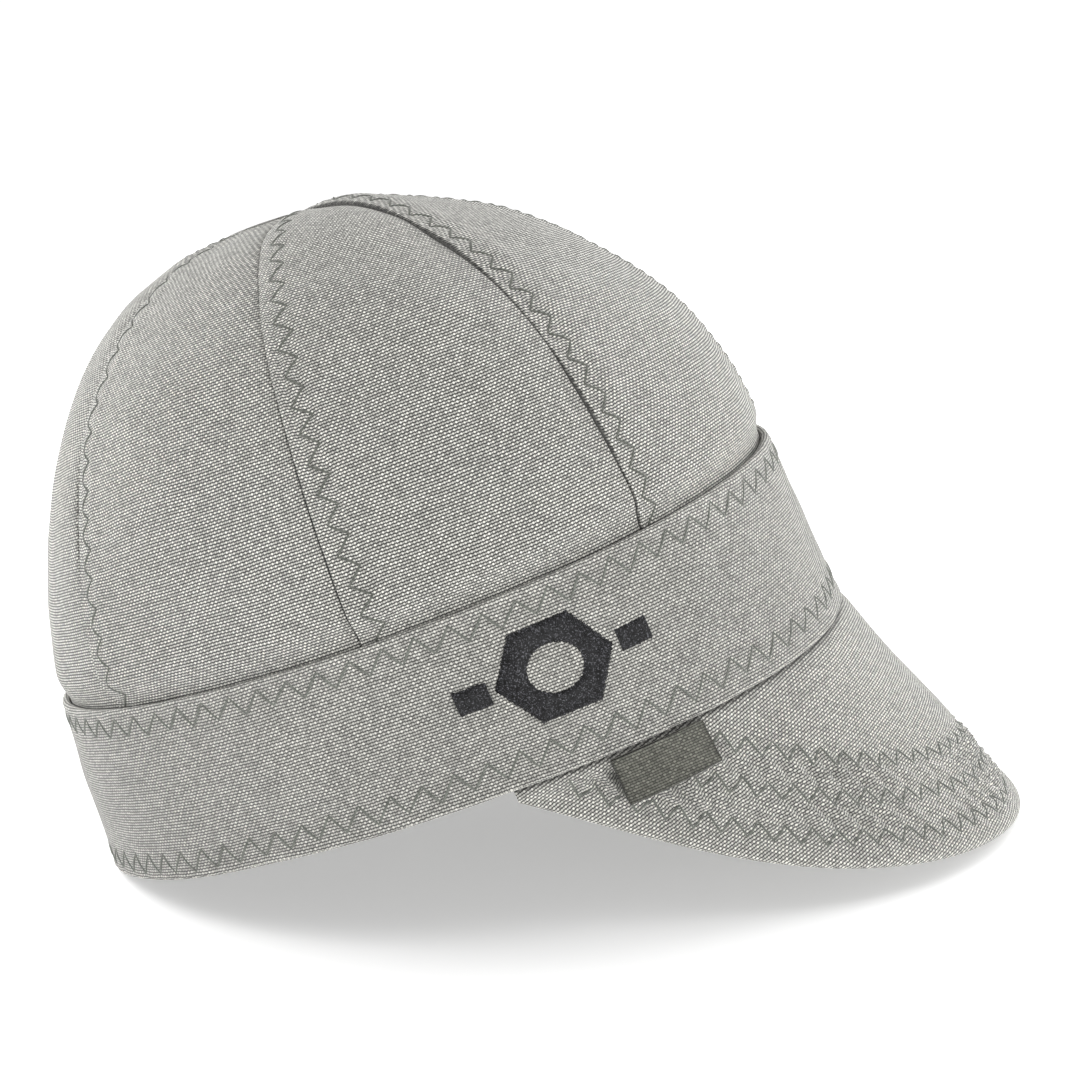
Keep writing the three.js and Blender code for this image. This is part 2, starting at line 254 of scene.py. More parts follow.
@dataclass
class Cloth:
    """A closed wall of cloth as loops of points.

    Each loop runs up the outer face and down the inner one. Loops follow each other anticlockwise
    as seen from above, and the last joins the first if the wall is a ring.
    """

    loops: Points
    across: Points
    ring: bool = False
    wear: Points | None = None
    painted_shade: Points | None = None

    def mesh(self, name: str) -> bpy.types.Object:
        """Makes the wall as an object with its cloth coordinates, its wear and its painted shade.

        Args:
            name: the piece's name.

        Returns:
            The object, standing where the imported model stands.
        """
        columns, size = self.loops.shape[:2]
        spans = columns if self.ring else columns - 1
        i, k = np.meshgrid(np.arange(spans), np.arange(size), indexing="ij")
        corner_i = np.stack([i, i + 1, i + 1, i], -1).reshape(-1, 4)
        corner_k = np.stack([k, k, k + 1, k + 1], -1).reshape(-1, 4)
        if not self.ring:
            corner_i, corner_k = self._with_ends(corner_i, corner_k)
        vertices = (corner_i % columns) * size + corner_k % size
        mesh = bpy.data.meshes.new(name)
        mesh.vertices.add(columns * size)
        mesh.vertices.foreach_set("co", STANCE.stand(self.loops).reshape(-1).astype(np.float32))
        mesh.loops.add(vertices.size)
        mesh.loops.foreach_set("vertex_index", vertices.reshape(-1).astype(np.int32))
        mesh.polygons.add(len(vertices))
        mesh.polygons.foreach_set("loop_start", np.arange(0, vertices.size, 4, dtype=np.int32))
        mesh.update(calc_edges=True)
        self._lay_grain(mesh, corner_i, corner_k)
        for label, values in ((WEAR, self.wear), (PAINTED_SHADE, self.painted_shade)):
            layer = mesh.attributes.new(label, "FLOAT", "POINT")
            if values is not None:
                layer.data.foreach_set("value", values.reshape(-1).astype(np.float32))
        mesh.shade_smooth()
        mesh.set_sharp_from_angle(angle=SHARP_EDGE)
        mesh.validate()
        return show(name, mesh)

    def _with_ends(self, corner_i: Points, corner_k: Points) -> tuple[Points, Points]:
        """Adds the strips that close the wall's two ends."""
        last, size = len(self.loops) - 1, self.loops.shape[1]
        j = np.arange(size // 2 - 1)
        start = np.stack([j, j + 1, size - 2 - j, size - 1 - j], -1)
        finish = start[:, ::-1]
        ends = np.concatenate([np.zeros_like(start), np.full_like(finish, last)])
        return np.concatenate([corner_i, ends]), np.concatenate([corner_k, start, finish])

    def _lay_grain(self, mesh: bpy.types.Mesh, corner_i: Points, corner_k: Points) -> None:
        """Writes the cloth coordinates: distance across the grain and distance along it."""
        closed = np.concatenate([self.loops, self.loops[:, :1]], 1)
        along = run_length(closed, 1)
        if self.ring:
            along = np.concatenate([along, along[:1]])
        across = self.across
        if across.ndim == 3:
            grain = np.concatenate([across, across[:, :1]], 1)[corner_i, corner_k]
        else:
            if across.ndim == 1:
                across = np.repeat(across[:, None], closed.shape[1], 1)
            else:
                across = np.concatenate([across, across[:, :1]], 1)
            grain = np.stack([across[corner_i, corner_k], along[corner_i, corner_k]], -1)
        layer = mesh.uv_layers.new(name=CLOTH_UV)
        layer.data.foreach_set("uv", grain.reshape(-1).astype(np.float32))


@dataclass
class StitchRow:
    """A row of zigzag stitches along a line on the cloth, in the cap's own frame."""

    line: Points
    side: Points
    up: Points
    width: float
    pitch: float
    lean: float = 0.0

    def needles(self) -> Points:
        """Where the needle goes through: evenly along the line, left and right by turns."""
        travelled = run_length(self.line)
        count = self.count()
        at = np.linspace(0, travelled[-1], count)
        mid, side = (
            at_distances(at, travelled, part) for part in (self.line, self.side))
        ahead = unit(np.gradient(mid, axis=0))
        sign = np.where(np.arange(count) % 2 == 0, 1.0, -1.0)[:, None]
        return mid + unit(side) * sign * self.width / 2 + ahead * sign * self.lean * self.pitch / 4

    def count(self) -> int:
        """How many times the needle goes through."""
        return int(round(run_length(self.line)[-1] / (self.pitch / 2))) + 1

    def beneath(self, cloth: float) -> "StitchRow":
        """The same row on the other face of cloth of this thickness."""
        return replace(self, line=self.line - unit(self.up) * cloth, up=-self.up)


def pull_in(points: Points, rows: list[StitchRow], depth: float) -> Points:
    """How far the cloth is pulled in round each needle hole."""
    if not rows:
        return np.zeros(points.shape[:-1])
    distance, _ = nearest(points, np.concatenate([row.needles() for row in rows]))
    return depth * np.exp(-(distance / NEEDLE_SPREAD) ** 2)


class Wiring:
    """Adds nodes to a tree and links them."""

    def __init__(self, tree: bpy.types.NodeTree) -> None:
        """Keeps the tree."""
        self.tree = tree

    def node(self, kind: str, inputs: dict | None = None, **settings: object) -> bpy.types.Node:
        """Adds a node.

        Args:
            kind: the node's type.
            inputs: a value or a socket for each of its inputs, by name or number.
            settings: its properties.

        Returns:
            The node.
        """
        made = self.tree.nodes.new(kind)
        for key, value in settings.items():
            setattr(made, key, value)
        for key, value in (inputs or {}).items():
            if isinstance(value, bpy.types.NodeSocket):
                self.tree.links.new(value, made.inputs[key])
            else:
                made.inputs[key].default_value = value
        return made

    def math(self, operation: str, *values: object) -> Socket:
        """The result of a Math node (shader and geometry trees share it)."""
        return self.node("ShaderNodeMath", dict(enumerate(values)), operation=operation).outputs[0]

    def vector(self, operation: str, *values: object) -> Socket:
        """The vector result of a Vector Math node, which takes a scale at its input 3."""
        slots = (0, 3) if operation == "SCALE" else (0, 1)
        return self.node("ShaderNodeVectorMath", dict(zip(slots, values)), operation=operation).outputs[0]

    def ramp(self, value: object, low: float, high: float, to_low: float, to_high: float) -> Socket:
        """A value mapped from one range to another, and held at its ends."""
        made = self.node("ShaderNodeMapRange", {0: value, 1: low, 2: high, 3: to_low, 4: to_high})
        return made.outputs[0]

    def noise(self, place: Socket, scale: float, detail: float, roughness: float = 0.5) -> bpy.types.Node:
        """A Noise Texture node."""
        return self.node("ShaderNodeTexNoise", {
            "Vector": place, "Scale": scale, "Detail": detail, "Roughness": roughness})

    def declare(self, side: str, **kinds: str) -> None:
        """Adds sockets to the tree's face, INPUT or OUTPUT. Underscores in labels become spaces."""
        for label, kind in kinds.items():
            self.tree.interface.new_socket(
                label.replace("_", " "), in_out=side, socket_type="NodeSocket" + kind)

    def read(self, label: str, kind: str) -> Socket:
        """An attribute that the guide points carry (geometry trees only)."""
        return self.node("GeometryNodeInputNamedAttribute", {"Name": label}, data_type=kind).outputs[0]


def blank_material(name: str) -> tuple[bpy.types.Material, Wiring]:
    """A material without nodes, and the wiring of its tree."""
    made = bpy.data.materials.new(name)
    made.use_nodes = True
    made.node_tree.nodes.clear()
    return made, Wiring(made.node_tree)


class PlainWeave:
    """Over-and-under yarns as a node group, from cloth coordinates counted in yarns."""

    NAME = "plain_weave"
    WEFT_LEAD = 0.4
    WAVE = 0.5

    @classmethod
    def group(cls) -> bpy.types.NodeTree:
        """The group, made once."""
        found = bpy.data.node_groups.get(cls.NAME)
        return found or cls._make()

    @classmethod
    def _make(cls) -> bpy.types.NodeTree:
        """Builds the group: yarn counts in, height and the weft yarns' roundness out."""
        w = Wiring(bpy.data.node_groups.new(cls.NAME, "ShaderNodeTree"))
        w.declare("INPUT", Warp_Count="Float", Weft_Count="Float")
        w.declare("OUTPUT", Height="Float", Weft_Roundness="Float")
        given = w.node("NodeGroupInput").outputs
        heights, falls = [], []
        for here, other, sign, lead in ((0, 1, 1.0, 0.0), (1, 0, -1.0, cls.WEFT_LEAD)):
            yarn = w.math("ROUND", given[here])
            off = w.math("SUBTRACT", given[here], yarn)
            falls.append(w.math("MULTIPLY_ADD", w.math("MULTIPLY", off, off), -4.0, 1.0))
            top = w.math("SQRT", w.math("MAXIMUM", falls[-1], 0.0))
            wave = w.math("COSINE", w.math("MULTIPLY", w.math("ADD", given[other], yarn), math.pi))
            over = w.math("MULTIPLY_ADD", wave, cls.WAVE * sign, lead)
            heights.append(w.math("ADD", over, top))
        w.node("NodeGroupOutput", {0: w.math("MAXIMUM", *heights), 1: falls[1]})
        return w.tree


@dataclass(frozen=True)
class DuckFinish:
    """Unfinished plain-woven cotton duck. Its shades are factors of its colour; some of them are painted
    light and shade.
    """

    slot: str
    colour: tuple[float, float, float] = (0.395, 0.39, 0.362)
    warp_pitch: float = 0.56 * MM
    weft_pitch: float = 0.715 * MM
    off_grain: float = 0.0
    wander: float = 1.1 * MM
    wander_scale: float = 45.0
    # Yarn height maps to colour: painted shade in the gaps between yarns, painted light on their crests,
    # painted shade at the edges of weft rows.
    gap_height: float = 1.03
    crest_height: float = 1.63
    gap_painted_shade: float = 0.0
    crest_painted_light: float = 1.97
    row_painted_shade: float = 0.0
    worn_shade: float = 1.16
    # Factor at full painted shade in ditches and hollows.
    painted_ditch_shade: float = 0.30
    palest_shade: float = 2.35
    grain: float = 0.30
    slub: float = 0.05
    slub_scale: float = 0.83
    slub_stretch: float = 0.03
    blotch: float = 0.05
    blotch_scale: float = 22.0
    relief: float = 0.18 * MM
    relief_strength: float = 0.85
    roughness: float = 0.92
    sheen: float = 0.25
    sheen_roughness: float = 0.6
    gloss: float = 0.2

    def material(self) -> bpy.types.Material:
        """Builds the material.

        Returns:
            The material, with yarns, slubs, blotches, worn folds and painted shade in ditches and
            hollows.
        """
        made, w = blank_material(self.slot)
        warp, weft = self._yarn_counts(w)
        weave = w.node("ShaderNodeGroup", {0: warp, 1: weft}, node_tree=PlainWeave.group())
        height = weave.outputs["Height"]
        # Colour follows yarn height: painted shade in the gaps, painted light on the crests.
        shade = w.ramp(height, self.gap_height, self.crest_height, self.gap_painted_shade, self.crest_painted_light)
        # Painted shade comes from the weft-row factor (between weft rows) and from the second attribute
        # (in seam ditches and other hollows); slubs, blotches and wear are the cloth's own.
        worn = w.node("ShaderNodeAttribute", attribute_name=WEAR).outputs["Fac"]
        painted_shade = w.node("ShaderNodeAttribute", attribute_name=PAINTED_SHADE).outputs["Fac"]
        for part in (w.ramp(weave.outputs["Weft Roundness"], 0.0, 1.0, self.row_painted_shade, 1.0),
                     self._slubs(w, warp, weft), self._blotches(w),
                     w.ramp(worn, 0.0, 1.0, 1.0, self.worn_shade),
                     w.ramp(painted_shade, 0.0, 1.0, 1.0, self.painted_ditch_shade)):
            shade = w.math("MULTIPLY", shade, part)
        tone = w.vector("SCALE", self.colour, w.math("MINIMUM", shade, self.palest_shade))
        relief = w.node("ShaderNodeBump", {
            "Strength": self.relief_strength, "Distance": self.relief, "Height": height})
        surface = w.node("ShaderNodeBsdfPrincipled", {
            "Base Color": tone, "Roughness": self.roughness, "Sheen Weight": self.sheen,
            "Sheen Roughness": self.sheen_roughness, "Specular IOR Level": self.gloss,
            "Normal": relief.outputs[0]})
        w.node("ShaderNodeOutputMaterial", {0: surface.outputs[0]})
        return made

    def _yarn_counts(self, w: Wiring) -> tuple[Socket, Socket]:
        """Warp and weft yarns counted from the middle of the cloth, along a grain that wanders."""
        grain = w.node("ShaderNodeUVMap", uv_map=CLOTH_UV).outputs[0]
        grain = w.node("ShaderNodeVectorRotate", {"Vector": grain, "Angle": self.off_grain},
                       rotation_type="Z_AXIS").outputs[0]
        drift = w.noise(grain, self.wander_scale, 2.0).outputs["Color"]
        shift = w.vector("SUBTRACT", drift, (0.5, 0.5, 0.5))
        grain = w.vector("ADD", grain, w.vector("MULTIPLY", shift, (self.wander, self.wander, 0.0)))
        across, along = w.node("ShaderNodeSeparateXYZ", {0: grain}).outputs[:2]
        return w.math("DIVIDE", across, self.warp_pitch), w.math("DIVIDE", along, self.weft_pitch)

    def _slubs(self, w: Wiring, warp: Socket, weft: Socket) -> Socket:
        """Yarns that are thicker or paler for part of their length."""
        shades = []
        for yarn, along in ((warp, weft), (weft, warp)):
            stretched = w.math("MULTIPLY", along, self.slub_stretch)
            place = w.node("ShaderNodeCombineXYZ", {0: w.math("ROUND", yarn), 1: stretched})
            noise = w.noise(place.outputs[0], self.slub_scale, 1.0).outputs["Fac"]
            shades.append(w.ramp(noise, 0.25, 0.75, 1 - self.slub, 1 + self.slub))
        cell = w.node("ShaderNodeCombineXYZ", {0: w.math("ROUND", warp), 1: w.math("ROUND", weft)})
        dot = w.node("ShaderNodeTexWhiteNoise", {0: cell.outputs[0]}, noise_dimensions="2D")
        shades.append(w.ramp(dot.outputs["Value"], 0.0, 1.0, 1 - self.grain, 1 + self.grain))
        return w.math("MULTIPLY", w.math("MULTIPLY", *shades[:2]), shades[2])

    def _blotches(self, w: Wiring) -> Socket:
        """Uneven dye and handling over a few centimetres."""
        place = w.node("ShaderNodeTexCoord").outputs["Object"]
        noise = w.noise(place, self.blotch_scale, 4.0, 0.6).outputs["Fac"]
        return w.ramp(noise, 0.3, 0.7, 1 - self.blotch, 1 + self.blotch)


@dataclass(frozen=True)
class ThreadFinish:
    """Sewing thread or satin stitch: a colour with fine uneven shades and painted glints as pale flecks.
    """

    slot: str
    name: str
    colour: tuple[float, float, float]
    roughness: float = 0.6
    sheen: float = 0.1
    uneven: float = 0.25
    uneven_scale: float = 900.0
    painted_glint: float = 0.0
    painted_glint_scale: float = 2700.0
    twist: float = 0.1 * MM
    twist_strength: float = 0.4
    gloss: float = 0.25

    def material(self) -> bpy.types.Material:
        """Builds the material."""
        made, w = blank_material(self.name)
        place = w.node("ShaderNodeTexCoord").outputs["Object"]
        noise = w.noise(place, self.uneven_scale, 2.0).outputs["Fac"]
        shade = w.ramp(noise, 0.3, 0.7, 1 - self.uneven, 1 + self.uneven)
        # Painted glints: pale flecks added to the thread's colour.
        fine = w.noise(place, self.painted_glint_scale, 1.0).outputs["Fac"]
        shade = w.math("ADD", shade, w.ramp(fine, 0.55, 0.72, 0.0, self.painted_glint))
        twist = w.node("ShaderNodeBump", {
            "Strength": self.twist_strength, "Distance": self.twist, "Height": noise})
        surface = w.node("ShaderNodeBsdfPrincipled", {
            "Base Color": w.vector("SCALE", self.colour, shade), "Roughness": self.roughness,
            "Sheen Weight": self.sheen, "Specular IOR Level": self.gloss, "Normal": twist.outputs[0]})
        w.node("ShaderNodeOutputMaterial", {0: surface.outputs[0]})
        return made


class Finish(Enum):
    """The cap's finishes."""

    CROWN = DuckFinish("canvas_crown")
    # The band's colour is the crown canvas darkened by about a tenth: painted shade.
    BAND = DuckFinish(
        "canvas_band", colour=(0.352, 0.347, 0.322), warp_pitch=0.60 * MM, weft_pitch=0.75 * MM,
        gap_painted_shade=0.2, crest_painted_light=1.75, row_painted_shade=0.25)
    BRIM = DuckFinish(
        "canvas_brim", warp_pitch=0.60 * MM, weft_pitch=0.74 * MM, off_grain=math.radians(12.5),
        gap_painted_shade=0.15, crest_painted_light=1.85, row_painted_shade=0.15)
    LABEL = DuckFinish(
        "label_tape", colour=(0.12, 0.12, 0.101), warp_pitch=0.70 * MM, weft_pitch=0.62 * MM,
        relief=0.08 * MM, gap_height=0.8, gap_painted_shade=0.15, crest_painted_light=1.6, row_painted_shade=0.4, grain=0.35)
    CROWN_THREAD = ThreadFinish("seam_thread", "seam_thread_dark", (0.125, 0.131, 0.115))
    BAND_THREAD = ThreadFinish("seam_thread", "seam_thread_pale", (0.155, 0.164, 0.145))
    # Its flecks are painted glints.
    SATIN = ThreadFinish(
        "satin_thread", "satin_thread", (0.0095, 0.0095, 0.0105),
        roughness=0.45, sheen=0.0, uneven=0.9, painted_glint=13.0)


MATERIALS: dict[Finish, bpy.types.Material] = {}


def material_of(finish: Finish) -> bpy.types.Material:
    """A finish's material, made once."""
    if finish not in MATERIALS:
        MATERIALS[finish] = finish.value.material()
    return MATERIALS[finish]


def dress(obj: bpy.types.Object, finish: Finish, *nodes: str) -> bpy.types.Object:
    """Gives a piece its material and its body.

    Args:
        obj: the piece.
        finish: its finish.
        nodes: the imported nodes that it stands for.

    Returns:
        The piece.
    """
    obj.data.materials.clear()
    obj.data.materials.append(material_of(finish))
    if nodes:
        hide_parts(*nodes)
    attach(obj, "root")
    triangles = sum(len(p.vertices) - 2 for p in obj.data.polygons)
    LOG.info("%s: %d triangles", obj.name, triangles)
    return obj


class ZigzagTree:
    """Geometry nodes that sew a zigzag thread along guide lines and lay it on the cloth."""

    CUTS = 5
    SIDES = 6
    REACH = 4 * MM

    @staticmethod
    def make() -> bpy.types.NodeTree:
        """Builds the tree.

        Returns:
            The tree. Each guide point carries its side and up directions and its row's stitch
            count, width and lean.
        """
        w = Wiring(bpy.data.node_groups.new("zigzag_stitches", "GeometryNodeTree"))
        w.declare("INPUT", Guides="Geometry", Cloth="Object", Finish="Material", Thread_Radius="Float",
                  Arch="Float", Sink="Float", Jitter="Float", Seed="Int")
        w.declare("OUTPUT", Thread="Geometry")
        given = w.node("NodeGroupInput").outputs
        line = w.node("GeometryNodeMeshToCurve", {0: given["Guides"]}).outputs[0]
        needles = w.node("GeometryNodeResampleCurve", {
            "Curve": line, "Count": w.read("stitch_count", "INT")}, mode="COUNT").outputs[0]
        zigzag = w.node("GeometryNodeSetPosition", {
            0: needles, "Offset": ZigzagTree._needle_offset(w, given)}).outputs[0]
        fine = w.node("GeometryNodeSubdivideCurve", {0: zigzag, "Cuts": ZigzagTree.CUTS}).outputs[0]
        laid = w.node("GeometryNodeSetPosition", {
            0: fine, "Position": ZigzagTree._place_on_cloth(w, given)}).outputs[0]
        profile = w.node("GeometryNodeCurvePrimitiveCircle", {
            "Resolution": ZigzagTree.SIDES, "Radius": given["Thread Radius"]}).outputs[0]
        thread = w.node("GeometryNodeCurveToMesh", {0: laid, 1: profile, "Fill Caps": True}).outputs[0]
        rounded = w.node("GeometryNodeSetShadeSmooth", {0: thread}).outputs[0]
        real = w.node("GeometryNodeRealizeInstances", {0: rounded}).outputs[0]
        done = w.node("GeometryNodeSetMaterial", {0: real, "Material": given["Finish"]}).outputs[0]
        w.node("NodeGroupOutput", {0: done})
        return w.tree

    @staticmethod
    def _needle_offset(w: Wiring, given: bpy.types.NodeOutputs) -> Socket:
        """From the guide to each needle hole: aside by turns, leaning ahead, a little uneven."""
        number = w.node("GeometryNodeCurveOfPoint").outputs["Index in Curve"]
        sign = w.math("MULTIPLY_ADD", w.math("MODULO", number, 2.0), -2.0, 1.0)
        loose = w.node("FunctionNodeRandomValue", {
            0: (-1, -1, -1), 1: (1, 1, 1), "Seed": given["Seed"]}, data_type="FLOAT_VECTOR")
        half_width = w.math("MULTIPLY", sign, w.read("half_width", "FLOAT"))
        lean = w.math("MULTIPLY", sign, w.read("lean", "FLOAT"))
        aside = w.vector("SCALE", w.read("side", "FLOAT_VECTOR"), half_width)
        ahead = w.vector("SCALE", w.node("GeometryNodeInputTangent").outputs[0], lean)
        shake = w.vector("SCALE", loose.outputs[0], given["Jitter"])
        return w.vector("ADD", w.vector("ADD", aside, ahead), shake)

    @staticmethod
    def _place_on_cloth(w: Wiring, given: bpy.types.NodeOutputs) -> Socket:
        """Where each point of the thread lies on the cloth: sunk at the needle holes, arched between."""
        number = w.node("GeometryNodeCurveOfPoint").outputs["Index in Curve"]
        spans = ZigzagTree.CUTS + 1.0
        step = w.math("DIVIDE", w.math("MODULO", number, spans), spans)
        arch = w.math("SINE", w.math("MULTIPLY", step, math.pi))
        place = w.node("GeometryNodeInputPosition").outputs[0]
        up = w.vector("NORMALIZE", w.read("up", "FLOAT_VECTOR"))
        cloth = w.node("GeometryNodeObjectInfo", {0: given["Cloth"]}, transform_space="ORIGINAL")
        ray = w.node("GeometryNodeRaycast", {
            "Target Geometry": cloth.outputs["Geometry"],
            "Source Position": w.vector("ADD", place, w.vector("SCALE", up, ZigzagTree.REACH)),
            "Ray Direction": w.vector("SCALE", up, -1.0), "Ray Length": 3 * ZigzagTree.REACH})
        lift = w.math("SUBTRACT", w.math("MULTIPLY", arch, given["Arch"]), given["Sink"])
        laid = w.vector("ADD", ray.outputs["Hit Position"], w.vector("SCALE", up, lift))
        return w.node("GeometryNodeSwitch", {0: ray.outputs["Is Hit"], 1: place, 2: laid},
                      input_type="VECTOR").outputs[0]


@dataclass
class Seamstress:
    """Sews rows of zigzag stitches onto pieces of cloth."""

    thread_radius: float = 0.29 * MM
    arch: float = 0.14 * MM
    sink: float = 0.13 * MM
    jitter: float = 0.28 * MM
    tree: bpy.types.NodeTree = field(default_factory=ZigzagTree.make)

    def sew(self, name: str, rows: list[StitchRow], cloth: bpy.types.Object,
            finish: Finish, seed: int) -> bpy.types.Object:
        """Sews rows onto a piece.

        Args:
            name: the thread's name.
            rows: the rows of stitches.
            cloth: the piece that they lie on.
            finish: the thread's finish.
            seed: for the hand's small unevenness.

        Returns:
            The thread as a plain mesh.
        """
        guides = show(name + "_guides", self._guides(name, rows))
        values = {"Cloth": cloth, "Finish": material_of(finish), "Thread Radius": self.thread_radius,
                  "Arch": self.arch, "Sink": self.sink, "Jitter": self.jitter, "Seed": seed}
        thread = grow(guides, self.tree, values, name)
        return dress(thread, finish)

    @staticmethod
    def _guides(name: str, rows: list[StitchRow]) -> bpy.types.Mesh:
        """Guide lines as a mesh of edges with what each row needs on its points."""
        mesh = bpy.data.meshes.new(name + "_guides")
        lines = [STANCE.turn(row.line) - [STANCE.middle, 0, -STANCE.lift] for row in rows]
        starts = np.cumsum([0] + [len(line) for line in lines])
        edges = [(int(start + n), int(start + n + 1))
                 for start, line in zip(starts, lines) for n in range(len(line) - 1)]
        mesh.from_pydata(np.concatenate(lines).tolist(), edges, [])
        for label, vectors in (("side", [unit(row.side) for row in rows]),
                               ("up", [unit(row.up) for row in rows])):
            layer = mesh.attributes.new(label, "FLOAT_VECTOR", "POINT")
            layer.data.foreach_set("vector", STANCE.turn(np.concatenate(vectors)).reshape(-1))
        for label, kind, number, values in (
                ("half_width", "FLOAT", float, [row.width / 2 for row in rows]),
                ("lean", "FLOAT", float, [row.lean * row.pitch / 4 for row in rows]),
                ("stitch_count", "INT", np.int32, [row.count() for row in rows])):
            layer = mesh.attributes.new(label, kind, "POINT")
            spread = np.repeat(values, [len(line) for line in lines])
            layer.data.foreach_set("value", spread.astype(number))
        return mesh


def grow(guide: bpy.types.Object, tree: bpy.types.NodeTree, values: dict[str, object],
         name: str) -> bpy.types.Object:
    """Runs a geometry node tree on a guide and keeps the result as a plain mesh.

    Args:
        guide: the object that carries the guide geometry. It is removed.
        tree: the node tree.
        values: a value for each of the tree's inputs, by label.
        name: the new piece's name.

    Returns:
        The piece.
    """
    modifier = guide.modifiers.new("pattern", "NODES")
    modifier.node_group = tree
    for item in tree.interface.items_tree:
        if item.item_type == "SOCKET" and item.in_out == "INPUT" and item.name in values:
            modifier[item.identifier] = values[item.name]
    guide.update_tag()
    bpy.context.view_layer.update()
    evaluated = guide.evaluated_get(bpy.context.evaluated_depsgraph_get())
    mesh = bpy.data.meshes.new_from_object(evaluated)
    mesh.name = name
    guide.modifiers.clear()
    bpy.data.objects.remove(guide)
    return show(name, mesh)


@dataclass(frozen=True)
class Seam:
    """A crown seam: degrees round the band, its drift at the tip, how crisp its ditch is, and its
    zigzag row's distance, width and pitch.
    """

    angle: float
    drift: float = 0.0
    crisp_low: float = 1.0
    crisp_high: float = 1.0
    stitch_away: float = 4.8 * MM
    stitch_width: float = 3.8 * MM
    stitch_pitch: float = 7.1 * MM

    def at(self, rise: Points, side: int) -> Points:
        """The seam's angle at a rise, on the wearer's right (-1) or left (1)."""
        return side * np.radians(self.angle + self.drift * np.sin(rise * np.pi / 2) ** 2)

    def crisp(self, rise: Points) -> Points:
        """How crisp its ditch is at a rise."""
        return blend(self.crisp_low, self.crisp_high, smooth(rise, 0.2, 0.6))


